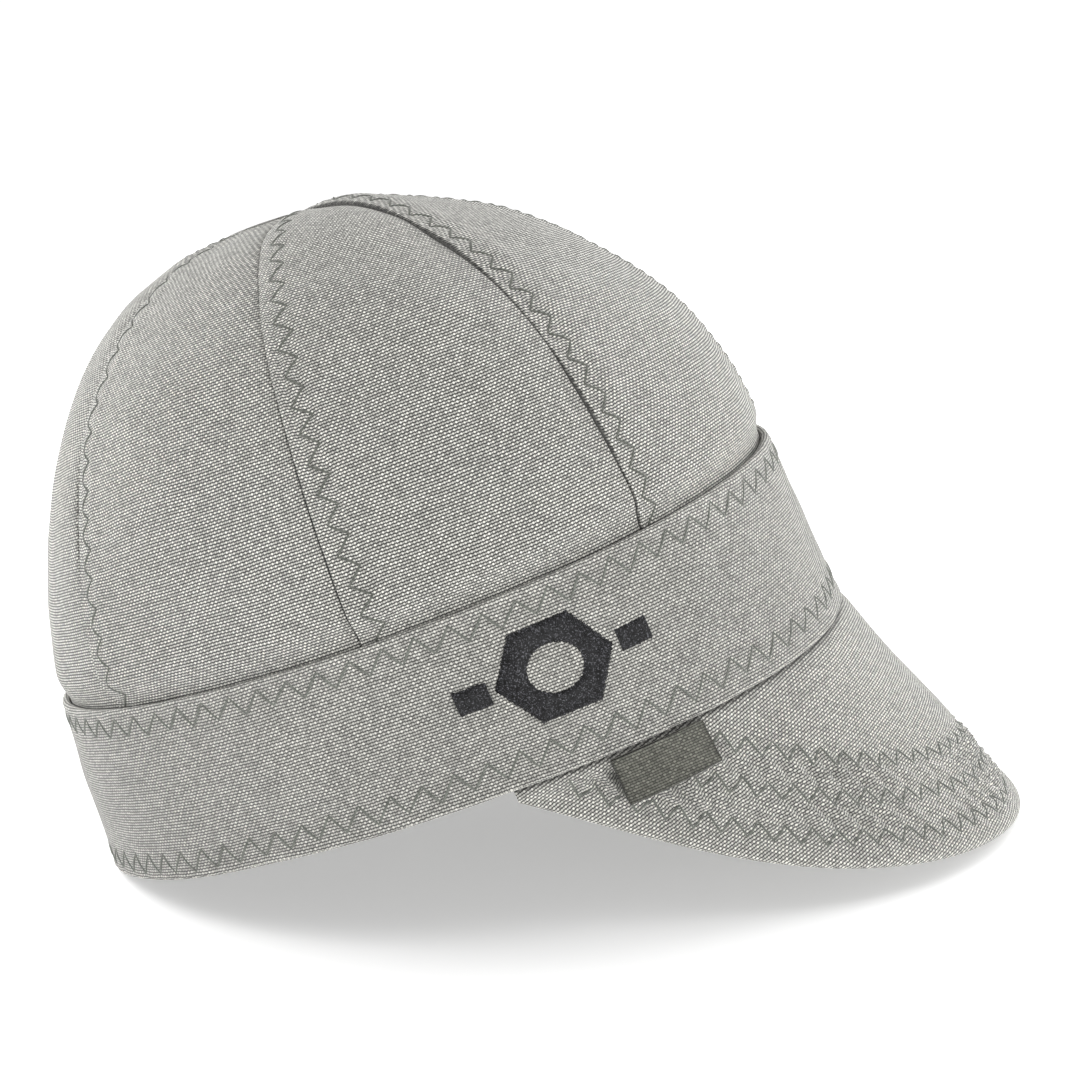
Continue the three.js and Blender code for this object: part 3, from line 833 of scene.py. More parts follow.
@dataclass
class CrownPanel:
    """One crown panel, from its margin inside the band to the crown's tip."""

    name: str
    node: str
    front: Seam
    back: Seam
    side: int
    sewn_front: bool = False
    sewn_back: bool = True
    columns: int = 84
    edge_gather: float = 0.84
    rise_rows: int = 124
    margin_rows: int = 6
    lap: float = 9.6 * MM
    puff: float = 0.5 * MM
    puff_easing: float = 0.4
    seam_dip: float = 0.7 * MM
    seam_sharpness: float = 3.5
    tip_radius: float = 0.35 * MM
    seam_room: float = 0.05 * MM
    allowance: float = 9.5 * MM
    allowance_rise: float = 0.38 * MM
    allowance_inside: float = 0.7 * MM
    full_relief_row: float = 16 * MM
    full_allowance_row: float = 20 * MM
    ditch_radius: tuple[float, float] = (1.8 * MM, 0.34 * MM)
    ditch_depth: tuple[float, float] = (0.35 * MM, 0.7 * MM)
    # Painted shade in a seam ditch: full within the second distance of the seam, fading to none at the
    # first.
    painted_shade_reach: tuple[float, float] = (0.30 * MM, 0.06 * MM)
    lip: float = 0.14 * MM
    lip_away: float = 0.9 * MM
    lip_spread: float = 0.6 * MM
    lip_wear: float = 0.6
    sag: float = 0.15 * MM
    sag_reach: float = 4 * MM
    swell: float = 0.45 * MM
    swell_length: float = 42 * MM
    crumple: float = 0.12 * MM
    crumple_length: float = 17 * MM
    needle_pull: float = 0.32 * MM

    def build(self, seamstress: Seamstress, seed: int) -> None:
        """Builds the panel and sews the rows that lie on it.

        Args:
            seamstress: who sews.
            seed: for its swells and its stitches.
        """
        shares = np.linspace(0, 1, self.columns)
        across = shares - self.edge_gather * np.sin(2 * np.pi * shares) / (2 * np.pi)
        rises = self._rises()
        points, normals = self._face(rises, across)
        lengths = run_length(points, 0)
        total = lengths[-1:]
        from_start, from_end = lengths, total - lengths
        to_front, to_back = (from_start, from_end) if self.side > 0 else (from_end, from_start)
        rows = self._stitch_rows(points, normals, to_front, to_back, rises)
        rise_grid = np.broadcast_to(rises, to_front.shape)
        relief, wear, painted_shade = self._relief(points, to_front, to_back, total, rise_grid, seed)
        relief = relief - pull_in(points, rows, self.needle_pull)
        outer = points + normals * relief[..., None]
        thickness = FORM.crown_cloth + self._inner_relief(to_front, to_back, total)
        inner = points - normals * thickness[..., None]
        loops = np.concatenate([outer, inner[:, ::-1]], 1)
        middle = lengths - total / 2
        wall = Cloth(loops, np.concatenate([middle, middle[:, ::-1]], 1))
        wall.wear = np.concatenate([wear, np.zeros_like(wear)], 1)
        wall.painted_shade = np.concatenate([painted_shade, np.zeros_like(painted_shade)], 1)
        obj = dress(wall.mesh(self.name), Finish.CROWN, self.node)
        if rows:
            seamstress.sew(self.name + "_stitches", rows, obj, Finish.CROWN_THREAD, seed)
            inside = [row.beneath(FORM.crown_cloth) for row in rows]
            seamstress.sew(self.name + "_stitches_inside", inside, obj, Finish.BAND_THREAD, seed + 50)

    def _rises(self) -> Points:
        """Rises for the rows: negative ones lie down in the margin, in metres."""
        tip = math.acos((2 * self.tip_radius / FORM.top_width) ** (1 / FORM.crown_easing)) / (math.pi / 2)
        angle = (self.front.at(0.5, self.side) + self.back.at(0.5, self.side)) / 2
        fine = np.linspace(0, tip, 900)
        travelled = run_length(FORM.dome(np.full_like(fine, angle), fine))
        rises = np.interp(np.linspace(0, travelled[-1], self.rise_rows + 1)[1:], travelled, fine)
        return np.concatenate([-np.linspace(self.lap, 0, self.margin_rows), rises])

    def _face(self, rises: Points, across: Points) -> tuple[Points, Points]:
        """The panel's outer face before its fine relief.

        Args:
            rises: the rows' rises, or drops into the margin below 0.
            across: the columns' shares of the way across.

        Returns:
            Its points and its normals.
        """
        risen = np.maximum(rises, 0)
        first, last = (self.front, self.back) if self.side > 0 else (self.back, self.front)
        start, end = first.at(risen, self.side), last.at(risen, self.side)
        clears = []
        for edge in (start, end):
            ahead = FORM.dome(edge + SLOPE_STEP, risen) - FORM.dome(edge - SLOPE_STEP, risen)
            clears.append(self.seam_room * 2 * SLOPE_STEP / np.linalg.norm(ahead, axis=-1))
        angle = blend(start + clears[0], end - clears[1], across[:, None])
        rise = np.broadcast_to(risen, angle.shape)
        base = FORM.dome(angle, rise)
        normals = FORM.normal(FORM.dome, angle, np.clip(rise, 0.02, 0.985))
        emerged = smooth(base[..., 2] - FORM.band_height, 0.5 * MM, FORM.crown_emergence)
        dip = (self.puff + self.seam_dip) * np.abs(2 * across[:, None] - 1) ** self.seam_sharpness
        fade = np.maximum(np.sin(np.pi * rise), 0) ** self.puff_easing
        sunk = (FORM.band_cloth + FORM.seam_gap) * (1 - emerged)
        points = base + normals * ((self.puff - dip) * fade - sunk)[..., None]
        share = 1 + np.minimum(rises, 0) / FORM.band_height
        share = np.broadcast_to(share, angle.shape)
        band_normals = FORM.normal(FORM.band, angle, share)
        margin = FORM.band(angle, share) - band_normals * (FORM.band_cloth + FORM.seam_gap)
        low = np.broadcast_to(rises <= 0, angle.shape)[..., None]
        return np.where(low, margin, points), np.where(low, band_normals, normals)

    def _sides(self, to_front: Points, to_back: Points) -> tuple[tuple[Points, Seam, bool], ...]:
        """For each side of the panel: the distance to its seam, the seam, and whether it is sewn here."""
        return (to_front, self.front, self.sewn_front), (to_back, self.back, self.sewn_back)

    def _relief(self, points: Points, to_front: Points, to_back: Points, total: Points,
                rise: Points, seed: int) -> tuple[Points, Points, Points]:
        """Fine relief of the outer face.

        Args:
            points: the face's points.
            to_front: distance to the panel's front seam.
            to_back: distance to its back seam.
            total: each row's length.
            rise: each point's rise.
            seed: for the swells.

        Returns:
            The relief, and the shares of wear and of painted shade.
        """
        room = np.clip(total / self.full_relief_row, 0.15, 1)
        relief = np.zeros(points.shape[:-1])
        wear = np.zeros_like(relief)
        painted_shade = np.zeros_like(relief)
        far, near = self.painted_shade_reach
        for distance, seam, sewn in self._sides(to_front, to_back):
            crisp = seam.crisp(rise)
            radius = blend(*self.ditch_radius, crisp) * room
            depth = blend(*self.ditch_depth, crisp) * room
            inward = np.clip(1 - distance / radius, 0, 1)
            relief -= depth * blend(inward ** 2, 1 - np.sqrt(1 - inward ** 2), crisp)
            # Painted shade in the seam ditch, stronger where the ditch is crisp.
            painted_shade = np.maximum(painted_shade, crisp * smooth(-distance, -far, -near))
            if sewn:
                ridge = smooth(-distance, -self.allowance - 2.5 * MM, -self.allowance + 1.5 * MM)
                relief += self.allowance_rise * room * ridge
                relief += self.lip * crisp * room * bump(distance, self.lip_away, self.lip_spread)
                rubbed = self.lip_wear * crisp * bump(distance, self.lip_away, 0.5 * MM)
                wear = np.maximum(wear, rubbed)
            else:
                relief -= self.sag * room * np.exp(-distance / self.sag_reach)
        uneven = self.swell * drape(points, self.swell_length, seed)
        uneven = uneven + self.crumple * drape(points, self.crumple_length, seed + 7)
        relief += smooth(rise, 0.0, 0.08) * uneven
        return relief, wear, painted_shade

    def _inner_relief(self, to_front: Points, to_back: Points, total: Points) -> Points:
        """How far the seam allowances stand in from the inner face."""
        room = np.clip(total / self.full_allowance_row, 0, 1)
        relief = np.zeros(to_front.shape)
        for distance, _, sewn in self._sides(to_front, to_back):
            if sewn:
                ridge = smooth(-distance, -self.allowance - 0.6 * MM, -self.allowance)
                relief += self.allowance_inside * room * ridge
        return relief

    def _stitch_rows(self, points: Points, normals: Points, to_front: Points, to_back: Points,
                     rises: Points) -> list[StitchRow]:
        """The zigzag rows beside the panel's seams."""
        rows = []
        for distance, seam, sewn in self._sides(to_front, to_back):
            if not sewn:
                continue
            target = seam.stitch_away
            line, side, up = [], [], []
            for j in range(self.margin_rows - 3, len(rises)):
                away = distance[:, j]
                if away.max() < 1.6 * target:
                    break
                order = np.argsort(away)
                here = at_distances(target, away[order], points[order, j])
                out = at_distances(target + MM, away[order], points[order, j])
                line.append(here)
                side.append(out - here)
                up.append(at_distances(target, away[order], normals[order, j]))
            rows.append(StitchRow(np.array(line), unit(np.array(side)), unit(np.array(up)),
                                  seam.stitch_width, seam.stitch_pitch))
        return rows


@dataclass
class Crown:
    """The eight panels of the crown."""

    centre_front: Seam = Seam(0, 0, 0.9, 0.9)
    fore: Seam = Seam(50.8, -2.1, 1.0, 1.0, 3.7 * MM, 3.3 * MM, 7.3 * MM)
    middle: Seam = Seam(92.2, 1.1, 1.0, 0.1, 5.3 * MM, 4.1 * MM, 7.05 * MM)
    aft: Seam = Seam(135.4, 9.0, 0.45, 0.2)
    centre_back: Seam = Seam(180, 0, 0.7, 0.5)

    def build(self, seamstress: Seamstress) -> None:
        """Builds both halves, the wearer's right first."""
        seams = (self.centre_front, self.fore, self.middle, self.aft, self.centre_back)
        labels = ("front", "front_side", "back_side", "back")
        for side, hand in ((-1, "right"), (1, "left")):
            for n, label in enumerate(labels):
                right = side < 0
                panel = CrownPanel(
                    name=f"crown_{label}_{hand}_cloth", node=f"crown_panel_{label}_{hand}",
                    front=seams[n], back=seams[n + 1], side=side,
                    sewn_front=right and n == 0, sewn_back=n < 3 or right)
                panel.build(seamstress, seed=10 * n + (3 if right else 5))


@dataclass
class Band:
    """The deep band: a ring of cloth folded at its top and its hem, with two rows of zigzag."""

    columns: int = 540
    outer_rows: int = 46
    inner_rows: int = 26
    fold_rows: int = 5
    upper_row: float = 5.0 * MM
    upper_width: float = 5.2 * MM
    lower_row_back: float = 4.8 * MM
    lower_row_front: float = 7.0 * MM
    lower_width: float = 5.4 * MM
    pitch: float = 8.0 * MM
    lean: float = 0.2
    lip: float = 0.30 * MM
    fullness: float = 0.35 * MM
    swell: float = 0.30 * MM
    swell_length: float = 48 * MM
    crumple: float = 0.10 * MM
    crumple_length: float = 15 * MM
    joint_depth: float = 0.7 * MM
    needle_pull: float = 0.35 * MM

    def build(self, seamstress: Seamstress) -> None:
        """Builds the ring and sews its two rows."""
        angle = np.linspace(-np.pi, np.pi, self.columns + 1)[:-1]
        rows = self._stitch_rows()
        height = FORM.band_height
        fold = FORM.band_cloth / 2
        turn = np.linspace(0, np.pi, self.fold_rows + 2)[1:-1]
        outer = np.linspace(fold, height - fold, self.outer_rows)
        inner = np.linspace(height - fold, fold, self.inner_rows)
        swing, reach = fold * np.sin(turn), fold * np.cos(turn)
        up = np.concatenate([outer, height - fold + swing, inner, fold - swing])
        depth = np.concatenate(
            [np.zeros_like(outer), fold - reach, np.full_like(inner, 2 * fold), fold + reach])
        grid_angle, share = np.broadcast_arrays(angle[:, None], up[None] / height)
        face = FORM.band(grid_angle, share)
        normals = FORM.normal(FORM.band, grid_angle, share)
        outside = (depth <= fold)[None]
        relief, wear, painted_shade = self._relief(face, grid_angle, up[None], outside)
        relief = relief - np.where(outside, pull_in(face, rows, self.needle_pull), 0)
        loops = face + normals * (relief - depth)[..., None]
        ring = np.concatenate([angle, [np.pi]])
        across = run_length(FORM.band(ring, np.full_like(ring, 0.5)))
        wall = Cloth(loops, across, ring=True, wear=wear, painted_shade=painted_shade)
        obj = dress(wall.mesh("band_cloth"), Finish.BAND, "band")
        seamstress.sew("band_stitches", rows, obj, Finish.BAND_THREAD, 71)
        inside = [row.beneath(FORM.band_cloth) for row in rows]
        seamstress.sew("band_stitches_inside", inside, obj, Finish.BAND_THREAD, 72)

    def _relief(self, face: Points, angle: Points, up: Points,
                outside: Points) -> tuple[Points, Points, Points]:
        """Fine relief of the band, and its shares of wear and of painted shade.

        Args:
            face: its outer face before the relief.
            angle: each point's angle round the band.
            up: each point's height over the hem.
            outside: true where a point lies on the outer face.

        Returns:
            The relief, the wear and the painted shade.
        """
        height = FORM.band_height
        down = height - up
        relief = self.lip * (bump(down, 1.6 * MM, 1.3 * MM) + bump(up, 1.3 * MM, 1.1 * MM))
        relief = relief + self.fullness * bump(up, 0.5 * height, 0.32 * height)
        relief = relief + self.swell * drape(face, self.swell_length, 31)
        relief = relief + self.crumple * drape(face, self.crumple_length, 32)
        relief = relief * np.where(outside, 1.0, 0.4)
        joint = np.abs(np.abs(angle) - np.pi) * FORM.top_length / 2 * 0.65
        relief = relief - np.where(outside, self.joint_depth * bump(joint, 0, 0.8 * MM), 0)
        rubbed = np.maximum(bump(down, 0.5 * MM, 0.9 * MM), 0.8 * bump(up, 0.5 * MM, 0.8 * MM))
        wear = np.where(outside, rubbed, 0)
        # Painted shade in the dip at the band's back joint.
        painted_shade = np.where(outside, 0.7 * bump(joint, 0, 0.4 * MM), 0)
        return relief, wear * np.ones_like(relief), painted_shade * np.ones_like(relief)

    def _stitch_rows(self) -> list[StitchRow]:
        """The upper row, and the lower row that climbs a little towards the brim."""
        angle = np.linspace(-np.pi, np.pi, 721)
        front = smooth(-np.abs(angle), -math.radians(150), -math.radians(80))
        upper = np.full_like(angle, FORM.band_height - self.upper_row)
        lower = blend(self.lower_row_back, self.lower_row_front, front)
        rows = []
        for height, width in ((upper, self.upper_width), (lower, self.lower_width)):
            share = height / FORM.band_height
            line = FORM.band(angle, share)
            rising = FORM.band(angle, share + SLOPE_STEP) - line
            up = FORM.normal(FORM.band, angle, share)
            rows.append(StitchRow(line, unit(rising), up, width, self.pitch, self.lean))
        return rows


@dataclass
class Brim:
    """The short brim: a stitched pad with three quilted rows and a margin inside the band."""

    reach: float = 78.2 * MM
    cloth: float = 3 * MM
    stub: float = 3.5 * MM
    margin: float = 9 * MM
    margin_cloth: float = 1.5 * MM
    half_angle: float = math.radians(81.1)
    front_slope: float = math.radians(67.6)
    end_slope: float = math.radians(103.3)
    slope_bow: float = 2.44
    bow: float = 1.6
    columns: int = 231
    rows: int = 70
    margin_rows: int = 6
    quilt_rows: tuple[float, ...] = (7.4 * MM, 17.0 * MM, 26.3 * MM)
    quilt_width: float = 4.1 * MM
    quilt_pitch: float = 6.9 * MM
    quilt_lean: float = -0.35
    quilt_sink: float = 0.35 * MM
    quilt_hold: float = 0.75
    puff_pitch: float = 8.0 * MM
    puff_height: float = 1.15 * MM
    puff_slant: float = 1.4
    swell: float = 0.35 * MM
    root_depth: float = 0.5 * MM
    needle_pull: float = 0.4 * MM
    rim_shares: tuple[float, ...] = (0, 0.06, 0.2, 0.42, 0.7, 1.0)

    def rulings(self, place: Points) -> dict[str, Points]:
        """Root, direction, normal and length of the brim's rulings.

        Args:
            place: from -1, the wearer's right end, to 1.

        Returns:
            One array for each, with the band's wall and face directions.
        """
        angle = place * self.half_angle
        around = unit(FORM.hem(angle + SLOPE_STEP) - FORM.hem(angle - SLOPE_STEP))
        outward = unit(np.stack([around[..., 1], -around[..., 0], np.zeros_like(angle)], -1))
        slope = blend(self.front_slope, self.end_slope, np.abs(place) ** self.slope_bow)
        ruling = outward * np.cos(slope)[..., None]
        ruling[..., 2] = -np.sin(slope)
        outline = 1 - np.abs(place) ** self.bow
        wall = unit(FORM.band_top(angle) - FORM.hem(angle))
        return {
            "root": FORM.hem(angle) - wall * FORM.seam_gap, "ruling": ruling,
            "normal": unit(np.cross(ruling, around)), "length": blend(self.stub, self.reach, outline),
            "wall": wall, "face": FORM.normal(FORM.band, angle, np.zeros_like(angle))}

    def build(self, seamstress: Seamstress) -> None:
        """Builds the pad and sews its rows."""
        place = np.linspace(-1, 1, self.columns)
        rule = self.rulings(place)
        half = self.cloth / 2
        rim = half * np.array(self.rim_shares)
        spread = np.linspace(0, 1, self.rows + 1)[1:]
        body = half + (rule["length"][:, None] - half) * spread
        from_edge = np.concatenate([np.broadcast_to(rim, (self.columns, len(rim))), body], 1)
        along = rule["length"][:, None] - from_edge
        rounded = 1 - np.minimum(from_edge / half, 1)
        depth = half - half * np.sqrt(np.clip(1 - rounded ** 2, 0, 1))
        pad = rule["root"][:, None] + rule["ruling"][:, None] * along[..., None]
        normals = np.broadcast_to(rule["normal"][:, None], pad.shape)
        edge = rule["root"] + rule["ruling"] * rule["length"][:, None]
        outline = self._finer(edge)
        distance, number = nearest(pad, outline)
        rows = self._stitch_rows(pad, normals, distance)
        travelled = run_length(outline)[number]
        relief, wear, painted_shade = self._relief(pad, distance, travelled, along, rows)
        top = pad + normals * (relief - depth)[..., None]
        softer = 0.35 * relief * smooth(distance, 1 * MM, 4 * MM)
        under = pad + normals * (softer - self.cloth + depth)[..., None]
        rises = np.linspace(0, self.margin, self.margin_rows + 1)[1:]
        margin = rule["root"][:, None] + rule["wall"][:, None] * rises[None, :, None]
        outside = margin - rule["face"][:, None] * (FORM.band_cloth + FORM.seam_gap)
        inside = outside - rule["face"][:, None] * self.margin_cloth
        loops = np.concatenate([top, outside, inside[:, ::-1], under[:, ::-1]], 1)
        flat = self._unrolled(rule, along, rises)
        none = np.zeros((self.columns, 2 * self.margin_rows + under.shape[1]))
        wall = Cloth(loops, flat)
        wall.wear, wall.painted_shade = (np.concatenate([part, none], 1) for part in (wear, painted_shade))
        obj = dress(wall.mesh("brim_cloth"), Finish.BRIM, "brim")
        seamstress.sew("brim_stitches", rows, obj, Finish.BAND_THREAD, 81)
        beneath = [row.beneath(self.cloth) for row in rows]
        seamstress.sew("brim_stitches_beneath", beneath, obj, Finish.BAND_THREAD, 82)

    @staticmethod
    def _finer(edge: Points) -> Points:
        """The outline with points every fraction of a millimetre."""
        travelled = run_length(edge)
        at = np.linspace(0, travelled[-1], 900)
        return at_distances(at, travelled, edge)

    def _unrolled(self, rule: dict[str, Points], along: Points, rises: Points) -> Points:
        """Cloth coordinates of the flat cut from which the brim is bent.

        Args:
            rule: the rulings.
            along: distances along them from the root, for each row.
            rises: distances up the margin.

        Returns:
            A place on the flat cloth for every point of every loop.
        """
        length = self.reach
        root = rule["root"]
        tip = root + rule["ruling"] * length
        a = np.zeros((self.columns, 2))
        b = np.zeros((self.columns, 2))
        b[0] = (0, -length)
        for n in range(1, self.columns):
            for new, old in ((a, root[n]), (b, tip[n])):
                base, other = a[n - 1], b[n - 1]
                d0 = np.linalg.norm(old - root[n - 1])
                d1 = np.linalg.norm(old - tip[n - 1])
                axis = (other - base) / length
                x = (d0 ** 2 - d1 ** 2 + length ** 2) / (2 * length)
                y = math.sqrt(max(d0 ** 2 - x ** 2, 0))
                new[n] = base + axis * x + np.array([-axis[1], axis[0]]) * y
        middle = self.columns // 2
        heading = (b[middle] - a[middle]) / length
        turn = np.array([[heading[1], -heading[0]], [heading[0], heading[1]]])
        a, b = (a - a[middle]) @ turn.T, (b - a[middle]) @ turn.T
        ruling = (b - a) / length
        pad = a[:, None] + ruling[:, None] * along[..., None]
        margin = a[:, None] - ruling[:, None] * rises[None, :, None]
        return np.concatenate([pad, margin, margin[:, ::-1], pad[:, ::-1]], 1)

    def _relief(self, pad: Points, distance: Points, travelled: Points, along: Points,
                rows: list[StitchRow]) -> tuple[Points, Points, Points]:
        """Quilting of the pad.

        Args:
            pad: its outer face.
            distance: from the outline.
            travelled: along the outline.
            along: from the root.
            rows: the quilted rows.

        Returns:
            The relief, and the shares of wear and of painted shade.
        """
        first, last = self.quilt_rows[0], self.quilt_rows[-1]
        between = smooth(distance, first - 5 * MM, first + 2 * MM)
        between = between * smooth(-distance, -last - 5 * MM, -last + 1 * MM)
        patchy = 0.75 + 0.25 * drape(pad, 45 * MM, 41)
        phase = 2 * np.pi * (travelled + self.puff_slant * distance) / self.puff_pitch
        ripple = self.puff_height * between * patchy * np.sin(phase + 0.5 * drape(pad, 30 * MM, 42))
        sunk = np.zeros_like(distance)
        for row in self.quilt_rows:
            sunk += self.quilt_sink * bump(distance, row, 3.2 * MM)
            ripple *= 1 - self.quilt_hold * bump(distance, row, 2.2 * MM)
        relief = ripple - sunk + self.swell * drape(pad, 50 * MM, 43)
        relief = relief - pull_in(pad, rows, self.needle_pull)
        relief = relief * smooth(distance, 0.5 * MM, 3 * MM) * smooth(along, 0.5 * MM, 5 * MM)
        from_root = np.maximum(along, 0)
        relief = relief - self.root_depth * np.exp(-from_root / (1.2 * MM))
        wear = bump(distance, 0.6 * MM, 1.2 * MM)
        # Painted shade where the brim's root meets the band.
        painted_shade = np.exp(-from_root / (0.5 * MM))
        return relief, wear, painted_shade

    def _stitch_rows(self, pad: Points, normals: Points, distance: Points) -> list[StitchRow]:
        """Rows that run at set distances from the outline."""
        rows = []
        for target in self.quilt_rows:
            line, up = [], []
            for i in range(self.columns):
                if distance[i].max() < target + 2.2 * MM:
                    continue
                line.append(at_distances(target, distance[i], pad[i]))
                up.append(normals[i, 0])
            line, up = np.array(line), np.array(up)
            side = unit(np.cross(up, unit(np.gradient(line, axis=0))))
            rows.append(StitchRow(line, side, up, self.quilt_width, self.quilt_pitch, self.quilt_lean))
        return rows


@dataclass
class SideLabel:
    """A bare folded tag caught in the seam over the brim, on the wearer's right."""

    width: float = 23.8 * MM
    drop: float = 10.3 * MM
    lift: float = 2.4 * MM
    curl: float = 1.5
    start: float = 0.5 * MM
    angle: float = math.radians(-61.9)
    tape: float = 0.34 * MM
    gap: float = 0.30 * MM
    columns: int = 46
    rows: int = 26

    def build(self, brim: Brim) -> None:
        """Builds the folded tape.

        Args:
            brim: what the tag hangs over.
        """
        across = np.linspace(-0.5, 0.5, self.columns) * self.width
        angle = FORM.along(FORM.band, self.angle, across, np.zeros_like(across))
        rule = brim.rulings(angle / brim.half_angle)
        middle = brim.rulings(np.array(self.angle / brim.half_angle))
        total = 2 * self.tape + self.gap
        fold = total / 2
        hang = np.linspace(0, 1, self.rows) ** 0.9
        turn = np.linspace(0, np.pi, 9)[1:-1]
        straight = self.drop - fold
        front = np.stack([straight * hang, np.full_like(hang, total)], -1)
        over = np.stack([straight + fold * np.sin(turn), fold + fold * np.cos(turn)], -1)
        back = np.stack([straight * hang[::-1], np.zeros_like(hang)], -1)
        mid = np.concatenate([front, over, back])
        ahead = unit(np.gradient(mid, axis=0))
        skin = mid[::-1]
        core = (mid + np.stack([-ahead[:, 1], ahead[:, 0]], -1) * self.tape)[::-1]
        outer, inner = (self._place(path, across, rule, middle) for path in (skin, core))
        loops = np.concatenate([outer, inner[:, ::-1]], 1)
        wall = Cloth(loops, across)
        # Painted shadow along the tag's side edges and its fold.
        fold_line = np.exp(-np.abs(mid[::-1, 0] - self.drop) / (0.5 * MM))
        sides = np.exp(-(self.width / 2 - np.abs(across)) / (0.5 * MM))
        wall.painted_shade = 0.9 * np.maximum(sides[:, None], np.concatenate([fold_line, fold_line])[None])
        dress(wall.mesh("side_label_tape"), Finish.LABEL, "side_label")

    def _place(self, path: Points, across: Points, rule: dict[str, Points],
               middle: dict[str, Points]) -> Points:
        """Section points (distance down, height) carried over the brim."""
        down, height = path[:, 0], path[:, 1]
        lift = FORM.seam_gap + self.lift * np.clip(down / self.drop, 0, 1) ** self.curl + height
        sag = 0.25 * MM * np.cos(across / self.width * 2 * np.pi)[:, None] * (down / self.drop)[None]
        points = rule["root"][:, None] + middle["ruling"] * (self.start + down)[None, :, None]
        return points + rule["normal"][:, None] * (lift[None] + sag)[..., None]


class SatinTree:
    """Geometry nodes that lay satin stitches side by side across a shape."""

    @staticmethod
    def make() -> bpy.types.NodeTree:
        """Builds the tree. Guide points carry a side direction, an up direction and a span."""
        w = Wiring(bpy.data.node_groups.new("satin_stitches", "GeometryNodeTree"))
        w.declare("INPUT", Centre_Line="Geometry", Strand="Object", Finish="Material",
                  Strand_Width="Float", Unevenness="Float", Seed="Int")
        w.declare("OUTPUT", Stitches="Geometry")
        given = w.node("NodeGroupInput").outputs
        line = w.node("GeometryNodeMeshToCurve", {0: given["Centre Line"]}).outputs[0]
        beads = w.node("GeometryNodeResampleCurve", {
            "Curve": line, "Length": given["Strand Width"]}, mode="LENGTH").outputs[0]
        strand = w.node("GeometryNodeObjectInfo", {
            0: given["Strand"], "As Instance": True}, transform_space="ORIGINAL").outputs["Geometry"]
        turned = w.node("FunctionNodeAxesToRotation", {
            0: w.read("up", "FLOAT_VECTOR"), 1: w.read("side", "FLOAT_VECTOR")},
            primary_axis="Z", secondary_axis="X").outputs[0]
        uneven = w.node("FunctionNodeRandomValue", {
            "Min": -1.0, "Max": 1.0, "Seed": given["Seed"]}, data_type="FLOAT").outputs["Value"]
        stretch = w.math("MULTIPLY_ADD", uneven, given["Unevenness"], w.read("span", "FLOAT"))
        size = w.node("ShaderNodeCombineXYZ", {0: stretch, 1: 1.0, 2: 1.0}).outputs[0]
        laid = w.node("GeometryNodeInstanceOnPoints", {
            "Points": beads, "Instance": strand, "Rotation": turned, "Scale": size}).outputs[0]
        real = w.node("GeometryNodeRealizeInstances", {0: laid}).outputs[0]
        done = w.node("GeometryNodeSetMaterial", {0: real, "Material": given["Finish"]}).outputs[0]
        w.node("NodeGroupOutput", {0: done})
        return w.tree


